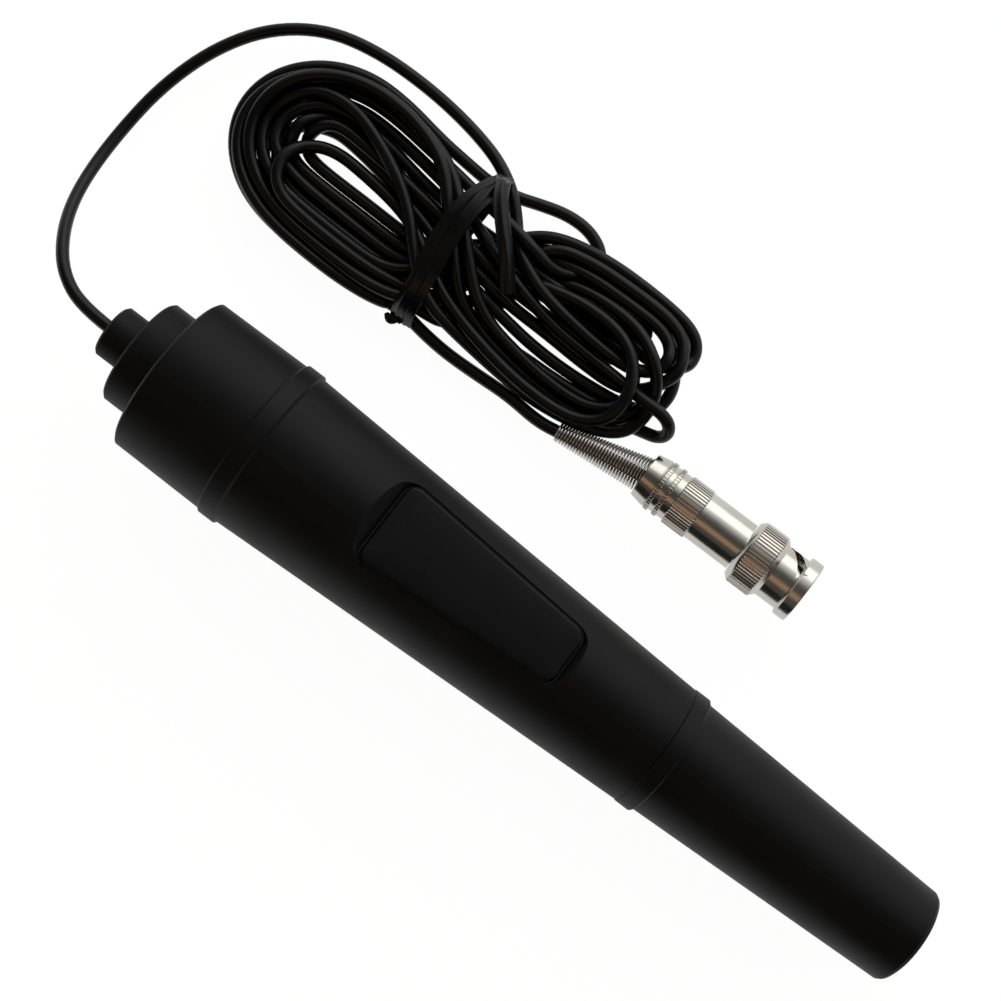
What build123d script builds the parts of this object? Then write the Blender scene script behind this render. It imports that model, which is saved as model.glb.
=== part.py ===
from build123d import *
from math import atan2, cos, degrees, sin, tan
import os

os.makedirs("parts", exist_ok=True)

# Lengths along the probe, from the cable end to the cap end, in millimetres
bush_length = 6.9
step_length = 7.3
rear_length = 20.9
ridge_width = 4.5
grip_length = 95.3
cap_length = 63.0
collar_width = 3.7

# Outside diameters
bush_diameter = 11.4
step_diameter = 23.4
rear_cap_diameter = 35.2
ridge_diameter = 36.2
grip_rear_diameter = 35.1
grip_front_diameter = 26.8
collar_diameter = 27.1
cap_mouth_diameter = 25.6
cap_end_diameter = 20.8

# Walls, edges and clearances
rear_wall = 2.8
cap_wall = 2.4
cap_end_wall = 2.6
edge = 0.5
rim_edge = 0.3
tip_edge = 1.0
fit_gap = 0.1
slide_gap = 0.3
seal_gap = 0.15

# Hollow handle with a spigot at each end
rear_spigot_diameter = 29.8
rear_spigot_length = 11.1
bore_rear_diameter = 23.2
bore_front_diameter = 20.4
neck_length = 6.0
front_spigot_diameter = 22.4
front_spigot_length = 11.1

# Flat pocket in the top of the grip, with a glossy pad let into it
panel_start = 65.7
panel_length = 44.9
panel_rear_width = 19.7
panel_front_width = 13.4
panel_corner = 3.0
panel_rear_height = 12.8
panel_front_height = 12.5
panel_roll = 14.8
panel_wall_slope = 38
pad_thickness = 0.8
pad_gap = 0.35
pad_edge = 0.3

# Electrode: body tube, glass stem with its bulb, guard, wires and seals
tube_diameter = 12.0
tube_wall = 1.3
tube_inside = 16.9
tube_reach = 33.1
head_length = 5.0
head_plug = 4.0
stem_clearance = 2.2
stem_seat = 1.5
glass_wall = 0.6
bulb_clearance = 1.4
bulb_setback = 9.5
guard_length = 18.5
guard_shank = 5.0
guard_ring = 3.0
guard_end = 2.5
guard_wall = 0.8
window_width = 6.0
window_count = 4
wire_diameter = 0.8
wire_setback = 8.0
wire_tail = 7.0
sleeve_length = 9.0
sleeve_wall = 0.4
lead_diameter = 1.2
lead_straight = 8.0
nut_wall = 1.7
nut_lip = 1.2
nut_flange_length = 3.5
nut_shank_length = 7.0
seal_section = 1.7
ring_section = 1.4
ring_seat = 5.2
sponge_length = 5.6

# Cable and what holds it in the rear cap
cable_diameter = 2.7
bush_neck_diameter = 8.0
bush_flange_diameter = 11.8
bush_flange_length = 1.8
stop_diameter = 6.0
stop_length = 5.0
cable_inside = 19.0

# Plug: stations along its own axis, from the rear rim of the back nut
nut_flare_length = 3.6
band_width = 0.9
band_pitch = 2.1
knurl_start = 8.2
knurl_length = 5.6
barrel_length = 10.6
shoulder_gap = 0.2
coupling_shoulder = 1.0
coupling_knurl_length = 5.4
bayonet_length = 4.8
lip_length = 3.0
flange_thickness = 1.7
washer_thickness = 0.5
wave_height = 2.0
retainer_thickness = 0.6
sleeve_reach = 7.3
pin_setback = 1.0

# Plug: diameters
nut_rim_diameter = 9.9
nut_band_diameter = 11.4
nut_groove_diameter = 10.6
nut_knurl_diameter = 11.5
nut_mouth_diameter = 9.2
nut_mouth_depth = 2.6
nut_bore_diameter = 4.2
barrel_diameter = 10.7
stub_diameter = 9.2
stub_length = 5.2
barrel_bore = 7.2
neck_diameter = 7.8
neck_bore = 5.6
coupling_rim_diameter = 12.2
coupling_diameter = 14.5
bayonet_diameter = 11.9
lip_diameter = 13.7
coupling_bore = 9.9
washer_diameter = 9.4
contact_diameter = 8.1
contact_wall = 0.6
contact_floor = 1.1
finger_slot = 0.5
bead_setback = 4.4
pin_diameter = 1.35
pin_shank_diameter = 2.1
slot_width = 2.1

# Spring strain relief, leaning the way the cable pulls it
spring_length = 21.0
spring_front_diameter = 8.3
spring_rear_diameter = 3.9
spring_wire = 0.6
spring_ridges = 10
spring_lean = 10.5
spring_insert = 1.2
tail_straight = 5.0

# Where the plug lies: the middle of its back nut's rim, seen from above
plug_x = 2.2
plug_y = 41.9

# Hank of cable and the tie round its middle
hank_height = 8.4
hank_edge = 2.2
left_lobe_x = -84.8
left_lobe_y = 54.3
left_lobe_length = 56.4
left_lobe_width = 40.4
right_lobe_x = -28.3
right_lobe_y = 57.8
right_lobe_length = 57.0
right_lobe_width = 35.0
waist_x = -58.8
waist_y = 55.1
waist_width = 35.4
tie_width = 5.0
tie_thickness = 0.8

bush_end = bush_length
step_end = bush_end + step_length
ridge_start = step_end + rear_length
ridge_end = ridge_start + ridge_width
seam = ridge_end + grip_length
collar_end = seam + collar_width
cap_end = seam + cap_length


def between(position, start, start_value, end, end_value):
    return start_value + (end_value - start_value) * (position - start) / (end - start)


def grip_radius(position):
    return between(position, ridge_end, grip_rear_diameter / 2, seam, grip_front_diameter / 2)


def cap_radius(position):
    return between(position, collar_end, cap_mouth_diameter / 2, cap_end, cap_end_diameter / 2)


# The probe lies on its ridge and its collar, so its axis falls towards the cap
front_contact = collar_end - rim_edge
rear_contact = ridge_end - edge
tilt = atan2((ridge_diameter - collar_diameter) / 2, front_contact - rear_contact)
rear_z = rear_contact * sin(tilt) + ridge_diameter / 2 * cos(tilt)
tip_lean = (cap_end_diameter / 2 - tip_edge - bush_diameter / 2 + edge) * sin(tilt)
rear_x = -(cap_end * cos(tilt) + tip_lean) / 2
side = Plane(origin=(rear_x, 0, rear_z), x_dir=(cos(tilt), 0, -sin(tilt)), z_dir=(0, -1, 0))
probe_axis = Axis(side.origin, side.x_dir)


def across(frame, position, height=0):
    return Plane(
        origin=frame.from_local_coords((position, height, 0)),
        x_dir=-frame.z_dir,
        z_dir=frame.x_dir,
    )


# Rear cap: a cup with a smaller step, screwed over the handle's rear spigot
rear_skirt_bore = rear_spigot_diameter / 2 + fit_gap
rear_spigot_start = ridge_start - rear_spigot_length
bush_hole = bush_neck_diameter / 2 + fit_gap
with BuildPart() as rear_cap:
    with BuildSketch(side):
        with BuildLine():
            Polyline(
                (bush_end, bush_hole),
                (bush_end, step_diameter / 2 - edge),
                (bush_end + edge, step_diameter / 2),
                (step_end, step_diameter / 2),
                (step_end, rear_cap_diameter / 2 - 2 * edge),
                (step_end + edge, rear_cap_diameter / 2 - edge / 2),
                (ridge_start, rear_cap_diameter / 2),
                (ridge_start, rear_skirt_bore),
                (rear_spigot_start - 1, rear_skirt_bore),
                (rear_spigot_start - 1, bore_rear_diameter / 2),
                (step_end + rear_wall, bore_rear_diameter / 2),
                (step_end, step_diameter / 2 - rear_wall),
                (bush_end + rear_wall, step_diameter / 2 - rear_wall),
                (bush_end + rear_wall, bush_hole),
                close=True,
            )
        make_face()
    revolve(axis=probe_axis)

# Cable bush: outer sleeve, neck through the cap's wall and flange behind it
cable_hole = cable_diameter / 2 + fit_gap
bush_flange_start = bush_end + rear_wall + fit_gap
bush_flange_end = bush_flange_start + bush_flange_length
with BuildPart() as cable_bush:
    with BuildSketch(side):
        with BuildLine():
            Polyline(
                (0, cable_hole),
                (0, bush_diameter / 2 - edge),
                (edge, bush_diameter / 2),
                (bush_end, bush_diameter / 2),
                (bush_end, bush_neck_diameter / 2),
                (bush_flange_start, bush_neck_diameter / 2),
                (bush_flange_start, bush_flange_diameter / 2),
                (bush_flange_end, bush_flange_diameter / 2),
                (bush_flange_end, cable_hole),
                close=True,
            )
        make_face()
    revolve(axis=probe_axis)

# Stripped end of the cable inside the bush, and the stop crimped on it
with BuildPart() as cable_end:
    with BuildSketch(across(side, 0)):
        Circle(cable_diameter / 2)
    extrude(amount=cable_inside)

stop_start = bush_flange_end + fit_gap
with BuildPart() as cable_stop:
    with BuildSketch(across(side, stop_start)):
        Circle(stop_diameter / 2)
        Circle(cable_hole, mode=Mode.SUBTRACT)
    extrude(amount=stop_length)

# Handle: tapered shell, ridge, spigots, ring grooves and counterbore for the nut
tube_hole = tube_diameter / 2 + fit_gap
nut_shank = tube_hole + nut_wall
nut_flange = nut_shank + nut_lip
counterbore = nut_shank + fit_gap
front_spigot_end = seam + front_spigot_length
seal_seat = front_spigot_end - nut_shank_length - seal_section - 2 * fit_gap
neck_start = seam - neck_length
rear_ring_radius = rear_spigot_diameter / 2 - ring_section / 2
front_ring_radius = front_spigot_diameter / 2 + slide_gap - seal_gap - ring_section / 2
rear_ring_at = ridge_start - ring_seat
front_ring_at = seam + ring_seat
groove_half = ring_section / 2 + fit_gap
with BuildPart() as handle_body:
    with BuildSketch(side):
        with BuildLine():
            Polyline(
                (rear_spigot_start, bore_rear_diameter / 2),
                (rear_spigot_start, rear_spigot_diameter / 2),
                (ridge_start, rear_spigot_diameter / 2),
                (ridge_start, ridge_diameter / 2 - edge),
                (ridge_start + edge, ridge_diameter / 2),
                (ridge_end - edge, ridge_diameter / 2),
                (ridge_end, grip_rear_diameter / 2),
                (seam, grip_front_diameter / 2),
                (seam, front_spigot_diameter / 2),
                (front_spigot_end - edge, front_spigot_diameter / 2),
                (front_spigot_end, front_spigot_diameter / 2 - edge),
                (front_spigot_end, counterbore),
                (seal_seat, counterbore),
                (seal_seat, tube_hole),
                (seam, tube_hole),
                (neck_start, bore_front_diameter / 2),
                close=True,
            )
        make_face()
        with Locations((rear_ring_at, rear_ring_radius - ring_section / 4)):
            Rectangle(2 * groove_half, ring_section * 1.5 + 2 * fit_gap, mode=Mode.SUBTRACT)
        with Locations((front_ring_at, front_ring_radius)):
            Rectangle(2 * groove_half, ring_section + 2 * fit_gap, mode=Mode.SUBTRACT)
    revolve(axis=probe_axis)

# Pocket floor: leans with the taper and is rolled a little about the probe's axis
rolled = Plane(side.location * Rotation(-panel_roll, 0, 0))
panel_middle = panel_start + panel_length / 2
panel_height = (panel_rear_height + panel_front_height) / 2
panel_pitch = atan2(panel_rear_height - panel_front_height, panel_length)
panel_floor = Plane(
    origin=rolled.from_local_coords((panel_middle, panel_height, 0)),
    x_dir=rolled.x_dir * cos(panel_pitch) - rolled.y_dir * sin(panel_pitch),
    z_dir=rolled.y_dir * cos(panel_pitch) + rolled.x_dir * sin(panel_pitch),
)
with BuildSketch(panel_floor) as panel_outline:
    with BuildLine():
        Polyline(
            (-panel_length / 2, -panel_rear_width / 2),
            (panel_length / 2, -panel_front_width / 2),
            (panel_length / 2, panel_front_width / 2),
            (-panel_length / 2, panel_rear_width / 2),
            close=True,
        )
    make_face()
    fillet(panel_outline.vertices(), panel_corner)

with handle_body:
    with BuildSketch(panel_floor):
        add(panel_outline.sketch_local)
    extrude(amount=grip_rear_diameter / 4, taper=-panel_wall_slope, mode=Mode.SUBTRACT)

with BuildPart() as grip_pad:
    with BuildSketch(panel_floor):
        add(panel_outline.sketch_local)
        offset(amount=-pad_gap, mode=Mode.REPLACE)
    extrude(amount=pad_thickness)
    chamfer(grip_pad.faces().sort_by(Axis.Z)[-1].edges(), pad_edge)

# Sealing rings of the two spigots
with BuildPart() as rear_ring:
    with BuildSketch(side):
        with Locations((rear_ring_at, rear_ring_radius)):
            RegularPolygon(ring_section / 2, 8)
    revolve(axis=probe_axis)

with BuildPart() as cap_ring:
    with BuildSketch(side):
        with Locations((front_ring_at, front_ring_radius)):
            RegularPolygon(ring_section / 2, 8)
    revolve(axis=probe_axis)

# Gland nut in the front spigot, and the seal that it squeezes on the electrode
nut_shank_start = front_spigot_end - nut_shank_length
with BuildPart() as gland_nut:
    with BuildSketch(side):
        with BuildLine():
            Polyline(
                (nut_shank_start, tube_hole),
                (nut_shank_start, nut_shank),
                (front_spigot_end, nut_shank),
                (front_spigot_end, nut_flange),
                (front_spigot_end + nut_flange_length, nut_flange),
                (front_spigot_end + nut_flange_length, tube_hole),
                close=True,
            )
        make_face()
    revolve(axis=probe_axis)
    with BuildSketch(across(side, front_spigot_end)):
        Circle(2 * nut_flange)
        RegularPolygon(nut_flange - fit_gap, 6, mode=Mode.SUBTRACT)
    extrude(amount=nut_flange_length, mode=Mode.SUBTRACT)

seal_radius = (tube_hole + counterbore) / 2
with BuildPart() as electrode_seal:
    with BuildSketch(side):
        with Locations((nut_shank_start - fit_gap - seal_section / 2, seal_radius)):
            Rectangle(seal_section, counterbore - tube_hole - fit_gap)
    revolve(axis=probe_axis)

# Electrode body tube and the head that closes its rear end
tube_start = seam - tube_inside
tube_end = seam + tube_reach
tube_bore = tube_diameter - 2 * tube_wall
stem_diameter = tube_bore - 2 * stem_clearance
bulb_diameter = tube_diameter - 2 * (guard_wall + bulb_clearance)
with BuildPart() as electrode_tube:
    with BuildSketch(across(side, tube_start)):
        Circle(tube_diameter / 2)
        Circle(tube_bore / 2, mode=Mode.SUBTRACT)
    extrude(amount=tube_end - tube_start)

stem_hole = stem_diameter / 2 + fit_gap / 2
wire_hole = wire_diameter / 2 + fit_gap
head_start = tube_start - head_length
stem_start = tube_start - stem_seat
reference_offset = (stem_diameter + tube_bore) / 4
joint_at = head_start - wire_tail
with BuildPart() as electrode_head:
    with BuildSketch(side):
        with BuildLine():
            Polyline(
                (head_start, wire_hole),
                (head_start, tube_diameter / 2 - edge),
                (head_start + edge, tube_diameter / 2),
                (tube_start, tube_diameter / 2),
                (tube_start, tube_bore / 2 - fit_gap),
                (tube_start + head_plug, tube_bore / 2 - fit_gap),
                (tube_start + head_plug, stem_hole),
                (stem_start - fit_gap, stem_hole),
                (stem_start - fit_gap, wire_hole),
                close=True,
            )
        make_face()
    revolve(axis=probe_axis)
    with BuildSketch(across(side, head_start, -reference_offset)):
        Circle(wire_hole)
    extrude(amount=head_length + head_plug, mode=Mode.SUBTRACT)

# Glass stem blown out into the sensing bulb
guard_tip = tube_end + guard_length
bulb_centre = guard_tip - bulb_setback
bulb_inner = bulb_diameter / 2 - glass_wall
stem_bore = stem_diameter / 2 - glass_wall
with BuildPart() as glass_stem:
    with BuildSketch(across(side, stem_start)):
        Circle(stem_diameter / 2)
    extrude(amount=bulb_centre - stem_start)
    with Locations(across(side, bulb_centre).location):
        Sphere(bulb_diameter / 2)
    with BuildSketch(across(side, stem_start)):
        Circle(stem_bore)
    extrude(amount=bulb_centre - stem_start, mode=Mode.SUBTRACT)
    with Locations(across(side, bulb_centre).location):
        Sphere(bulb_inner, mode=Mode.SUBTRACT)

# Slotted guard pressed into the tube's mouth, round the bulb
guard_start = tube_end
window_start = guard_start + guard_ring
window_end = guard_tip - guard_end
junction_hole = tube_bore / 2 - fit_gap - guard_wall
with BuildPart() as guard_cage:
    with BuildSketch(side):
        with BuildLine():
            Polyline(
                (guard_start - guard_shank, junction_hole),
                (guard_start - guard_shank, tube_bore / 2 - fit_gap),
                (guard_start, tube_bore / 2 - fit_gap),
                (guard_start, tube_diameter / 2),
                (guard_tip - edge, tube_diameter / 2),
                (guard_tip, tube_diameter / 2 - edge),
                (guard_tip, stem_diameter / 2),
                (window_end, stem_diameter / 2),
                (window_end, tube_bore / 2),
                (window_start, tube_bore / 2),
                (window_start, junction_hole),
                close=True,
            )
        make_face()
    revolve(axis=probe_axis)
    with BuildSketch(across(side, window_start)):
        with PolarLocations(tube_bore / 2, window_count):
            Rectangle(tube_diameter / 2, window_width, align=(Align.CENTER, Align.CENTER))
    extrude(amount=window_end - window_start, mode=Mode.SUBTRACT)

with BuildPart() as reference_junction:
    with BuildSketch(across(side, guard_start - guard_shank + edge)):
        Circle(junction_hole - fit_gap / 2)
        Circle(stem_hole, mode=Mode.SUBTRACT)
    extrude(amount=guard_shank)

# Silver wires: one on the axis in the stem, one beside the stem
with BuildPart() as measuring_wire:
    with BuildSketch(across(side, joint_at)):
        Circle(wire_diameter / 2)
    extrude(amount=bulb_centre - joint_at)

with BuildPart() as reference_wire:
    with BuildSketch(across(side, joint_at, -reference_offset)):
        Circle(wire_diameter / 2)
    extrude(amount=tube_end - wire_setback - joint_at)

# Leads from the cable to the wires, joined in shrink sleeves
lead_radius = lead_diameter / 2
core_spread = cable_diameter / 4
lead_run = joint_at - lead_straight - cable_inside
lead_waves = {
    "core_lead": (0, core_spread, (0.19, 3.5), (0.52, -1.0), (0.82, 2.0)),
    "shield_lead": (-reference_offset, -core_spread, (0.22, -3.0), (0.54, -5.5), (0.84, -2.2)),
}
leads = {}
for lead_name, (wire_height, start_height, *waves) in lead_waves.items():
    route = [(cable_inside, start_height)]
    route += [(cable_inside + share * lead_run, height) for share, height in waves]
    route += [(joint_at - lead_straight, wire_height), (joint_at, wire_height)]
    with BuildPart() as lead:
        with BuildLine(side) as lead_path:
            FilletPolyline(*route, radius=lead_diameter * 5)
        with BuildSketch(across(side, *route[0])):
            Circle(lead_radius)
        sweep(path=lead_path.line, transition=Transition.ROUND)
    leads[lead_name] = lead

with BuildPart() as shrink_sleeves:
    for sleeve_height in (0, -reference_offset):
        with BuildSketch(across(side, joint_at - sleeve_length / 2, sleeve_height)):
            Circle(lead_radius + fit_gap / 2 + sleeve_wall)
            Circle(lead_radius + fit_gap / 2, mode=Mode.SUBTRACT)
        extrude(amount=sleeve_length)

# Protective cap: a long tapered cup with a collar round its mouth
cap_bore = front_spigot_diameter / 2 + slide_gap
cap_step = front_spigot_end + slide_gap
cap_floor = cap_end - cap_end_wall
with BuildPart() as storage_cap:
    with BuildSketch(side):
        with BuildLine():
            Polyline(
                (seam, cap_bore),
                (seam, collar_diameter / 2 - rim_edge),
                (seam + rim_edge, collar_diameter / 2),
                (collar_end - rim_edge, collar_diameter / 2),
                (collar_end, collar_diameter / 2 - rim_edge),
                (collar_end, cap_mouth_diameter / 2),
                (cap_end - tip_edge, cap_radius(cap_end - tip_edge)),
                (cap_end - tip_edge / 3, cap_end_diameter / 2 - tip_edge / 3),
                (cap_end, cap_end_diameter / 2 - tip_edge),
                (cap_end, 0),
                (cap_floor, 0),
                (cap_floor, cap_radius(cap_floor) - cap_wall),
                (cap_step, cap_radius(cap_step) - cap_wall),
                (cap_step, cap_bore),
                close=True,
            )
        make_face()
    revolve(axis=probe_axis)

sponge_start = cap_floor - fit_gap - sponge_length
with BuildPart() as wetting_sponge:
    with BuildSketch(across(side, sponge_start)):
        Circle(cap_radius(cap_floor) - cap_wall - fit_gap)
    extrude(amount=sponge_length)
    chamfer(wetting_sponge.edges().sort_by(Axis.X)[0], edge)

# The plug lies on its back nut and its coupling ring, so its axis rises forwards
coupling_start = knurl_start + knurl_length + barrel_length + shoulder_gap
coupling_full = coupling_start + coupling_shoulder
nut_contact = nut_flare_length
plug_rise = atan2((coupling_diameter - nut_band_diameter) / 2, coupling_full - nut_contact)
plug_z = coupling_diameter / 2 * cos(plug_rise) - coupling_full * sin(plug_rise)
plug_side = Plane(
    origin=(plug_x, plug_y, plug_z),
    x_dir=(cos(plug_rise), 0, sin(plug_rise)),
    z_dir=(0, -1, 0),
)
plug_axis = Axis(plug_side.origin, plug_side.x_dir)
nut_end = knurl_start + knurl_length
barrel_end = nut_end + barrel_length
knurl_front = coupling_full + coupling_knurl_length
shoulder_front = knurl_front + coupling_shoulder
lip_start = shoulder_front + bayonet_length
lip_end = lip_start + lip_length

# Back nut: flared rim, two narrow bands, wide gripping band, threaded inside
chamber_start = nut_end - stub_length - fit_gap
with BuildPart() as back_nut:
    with BuildSketch(plug_side):
        with BuildLine():
            Polyline(
                (0, nut_mouth_diameter / 2),
                (0, nut_rim_diameter / 2),
                (nut_flare_length, nut_band_diameter / 2),
                (nut_flare_length + band_width, nut_band_diameter / 2),
                (nut_flare_length + band_width, nut_groove_diameter / 2),
                (nut_flare_length + band_pitch, nut_groove_diameter / 2),
                (nut_flare_length + band_pitch, nut_band_diameter / 2),
                (nut_flare_length + band_pitch + band_width, nut_band_diameter / 2),
                (nut_flare_length + band_pitch + band_width, nut_groove_diameter / 2),
                (knurl_start, nut_groove_diameter / 2),
                (knurl_start + edge, nut_knurl_diameter / 2),
                (nut_end - edge, nut_knurl_diameter / 2),
                (nut_end, nut_knurl_diameter / 2 - edge),
                (nut_end, stub_diameter / 2 + fit_gap / 2),
                (chamber_start, stub_diameter / 2 + fit_gap / 2),
                (chamber_start, nut_bore_diameter / 2),
                (nut_mouth_depth, nut_bore_diameter / 2),
                (nut_mouth_depth, nut_mouth_diameter / 2),
                close=True,
            )
        make_face()
    revolve(axis=plug_axis)

# Barrel: threaded stub, smooth body, neck for the coupling and a ring groove
stub_start = nut_end - stub_length
washer_start = coupling_start + flange_thickness + fit_gap / 2
wave_start = washer_start + washer_thickness + fit_gap / 2
retainer_start = wave_start + wave_height + fit_gap / 2
neck_end = retainer_start + retainer_thickness + 0.4
contact_shank = 2.0
groove_depth = 0.4
bore_step = barrel_end - bead_setback
with BuildPart() as plug_barrel:
    with BuildSketch(plug_side):
        with BuildLine():
            Polyline(
                (stub_start, barrel_bore / 2),
                (stub_start, stub_diameter / 2),
                (nut_end, stub_diameter / 2),
                (nut_end, barrel_diameter / 2),
                (barrel_end, barrel_diameter / 2),
                (barrel_end, neck_diameter / 2),
                (neck_end, neck_diameter / 2),
                (neck_end, neck_bore / 2 + groove_depth),
                (neck_end - contact_shank, neck_bore / 2 + groove_depth),
                (neck_end - contact_shank, neck_bore / 2),
                (bore_step, neck_bore / 2),
                (bore_step, barrel_bore / 2),
                close=True,
            )
        make_face()
        with Locations((retainer_start + retainer_thickness / 2, neck_diameter / 2)):
            Rectangle(retainer_thickness + fit_gap, 2 * groove_depth, mode=Mode.SUBTRACT)
    revolve(axis=plug_axis)

# Outer contact: a sleeve split into four fingers
contact_end = neck_end + sleeve_reach
contact_bore = contact_diameter / 2 - contact_wall
nose_radius = neck_bore / 2 - 0.35
floor_end = neck_end + contact_floor
with BuildPart() as contact_sleeve:
    with BuildSketch(plug_side):
        with BuildLine():
            Polyline(
                (neck_end - contact_shank + fit_gap, nose_radius + fit_gap / 2),
                (neck_end - contact_shank + fit_gap, neck_bore / 2 + groove_depth - fit_gap / 2),
                (neck_end, neck_bore / 2 + groove_depth - fit_gap / 2),
                (neck_end, contact_diameter / 2),
                (contact_end - rim_edge, contact_diameter / 2),
                (contact_end, contact_diameter / 2 - rim_edge),
                (contact_end, contact_bore),
                (floor_end, contact_bore),
                (floor_end, nose_radius + fit_gap / 2),
                close=True,
            )
        make_face()
    revolve(axis=plug_axis)
    with BuildSketch(across(plug_side, floor_end + contact_floor)):
        Rectangle(finger_slot, contact_diameter + fit_gap)
        Rectangle(contact_diameter + fit_gap, finger_slot)
    extrude(amount=sleeve_reach, mode=Mode.SUBTRACT)

# Insulators, centre pin with its solder cup, and the front gasket
pin_hole = pin_shank_diameter / 2 + fit_gap / 2
nose_end = floor_end + 0.6
with BuildPart() as front_insulator:
    with BuildSketch(plug_side):
        with BuildLine():
            Polyline(
                (bore_step + fit_gap, pin_hole),
                (bore_step + fit_gap, neck_bore / 2 - fit_gap / 2),
                (neck_end - contact_shank, neck_bore / 2 - fit_gap / 2),
                (neck_end - contact_shank, nose_radius),
                (nose_end, nose_radius),
                (nose_end, pin_hole),
                close=True,
            )
        make_face()
    revolve(axis=plug_axis)

bead_length = 1.4
bead_end = bore_step - fit_gap / 2
with BuildPart() as rear_bead:
    with BuildSketch(across(plug_side, bead_end - bead_length)):
        Circle(barrel_bore / 2 - fit_gap)
        Circle(pin_hole, mode=Mode.SUBTRACT)
    extrude(amount=bead_length)

cup_end = bead_end - bead_length - fit_gap
cup_length = 3.4
cup_wall = 0.2
core_radius = 0.45
pin_end = contact_end - pin_setback
with BuildPart() as centre_pin:
    with BuildSketch(plug_side):
        with BuildLine():
            Polyline(
                (cup_end - cup_length, core_radius + fit_gap / 2),
                (cup_end - cup_length, pin_shank_diameter / 2 + cup_wall),
                (cup_end, pin_shank_diameter / 2 + cup_wall),
                (cup_end, pin_shank_diameter / 2),
                (nose_end, pin_shank_diameter / 2),
                (nose_end, pin_diameter / 2),
                (pin_end - pin_diameter / 2, pin_diameter / 2),
                (pin_end, pin_diameter / 6),
                (pin_end, 0),
                (cup_end - edge, 0),
                (cup_end - edge, core_radius + fit_gap / 2),
                close=True,
            )
        make_face()
    revolve(axis=plug_axis)

with BuildPart() as front_gasket:
    with BuildSketch(across(plug_side, floor_end + fit_gap / 2)):
        Circle(contact_bore - fit_gap / 2)
        Circle(nose_radius + fit_gap, mode=Mode.SUBTRACT)
    extrude(amount=0.9)

# Coupling ring: inner flange, gripping band, bayonet barrel and front lip
coupling_hole = neck_diameter / 2 + fit_gap
with BuildPart() as coupling_ring:
    with BuildSketch(plug_side):
        with BuildLine():
            Polyline(
                (coupling_start, coupling_hole),
                (coupling_start, coupling_rim_diameter / 2),
                (coupling_full, coupling_diameter / 2),
                (knurl_front, coupling_diameter / 2),
                (shoulder_front, bayonet_diameter / 2),
                (lip_start, bayonet_diameter / 2),
                (lip_start + edge, lip_diameter / 2),
                (lip_end - edge, lip_diameter / 2),
                (lip_end, lip_diameter / 2 - edge),
                (lip_end, coupling_bore / 2),
                (coupling_start + flange_thickness, coupling_bore / 2),
                (coupling_start + flange_thickness, coupling_hole),
                close=True,
            )
        make_face()
    revolve(axis=plug_axis)
    # two curved slots for the socket's lugs, each with a way in under the lip
    hole_at = shoulder_front + slot_width / 2 + 0.3
    way_in = lip_start + slot_width / 4
    slot_swing = bayonet_diameter / 4
    for direction in (1, -1):
        slot_plane = Plane(
            origin=plug_side.origin, x_dir=plug_side.x_dir, z_dir=plug_side.z_dir * direction
        )
        with BuildSketch(slot_plane):
            with BuildLine():
                bow = ThreePointArc(
                    (hole_at, slot_swing * 0.7),
                    ((hole_at + way_in) / 2 - 0.5, 0),
                    (way_in, -slot_swing * 0.5),
                )
            SlotArc(bow, slot_width)
        extrude(amount=bayonet_diameter / 2 + 0.05, mode=Mode.SUBTRACT)
        with BuildSketch(slot_plane):
            with Locations((lip_start, -slot_swing * 0.5)):
                Rectangle(lip_length * 1.2, slot_width, align=(Align.MIN, Align.CENTER))
        extrude(amount=bayonet_diameter / 2, mode=Mode.SUBTRACT)

# Washers and snap ring that spring-load the coupling
washer_hole = neck_diameter / 2 + fit_gap
with BuildPart() as thrust_washer:
    with BuildSketch(across(plug_side, washer_start)):
        Circle(washer_diameter / 2)
        Circle(washer_hole, mode=Mode.SUBTRACT)
    extrude(amount=washer_thickness)

wave_crests = 3
wave_leaf = 0.5
with BuildPart() as wave_washer:
    with BuildSketch(across(plug_side, wave_start)):
        Circle(washer_diameter / 2)
        Circle(washer_hole, mode=Mode.SUBTRACT)
    extrude(amount=wave_height)
    for cut_start, turn in ((wave_start + wave_leaf, 0), (wave_start, 180 / wave_crests)):
        with BuildSketch(across(plug_side, cut_start)):
            with PolarLocations(washer_diameter / 2, wave_crests, start_angle=turn):
                Rectangle(washer_diameter / 2, washer_diameter / 3)
        extrude(amount=wave_height - wave_leaf, mode=Mode.SUBTRACT)

with BuildPart() as retaining_ring:
    with BuildSketch(across(plug_side, retainer_start)):
        Circle(washer_diameter / 2)
        Circle(neck_diameter / 2 - groove_depth + fit_gap / 2, mode=Mode.SUBTRACT)
        with Locations((0, neck_diameter / 2)):
            Rectangle(washer_diameter / 4, neck_diameter / 2, mode=Mode.SUBTRACT)
    extrude(amount=retainer_thickness)

# Clamp that grips the cable's braid in the barrel
clamp_length = 4.4
clamp_start = stub_start + fit_gap
with BuildPart() as braid_clamp:
    with BuildSketch(across(plug_side, clamp_start)):
        Circle(barrel_bore / 2 - fit_gap / 2)
        Circle(cable_hole, mode=Mode.SUBTRACT)
    extrude(amount=clamp_length)

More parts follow.
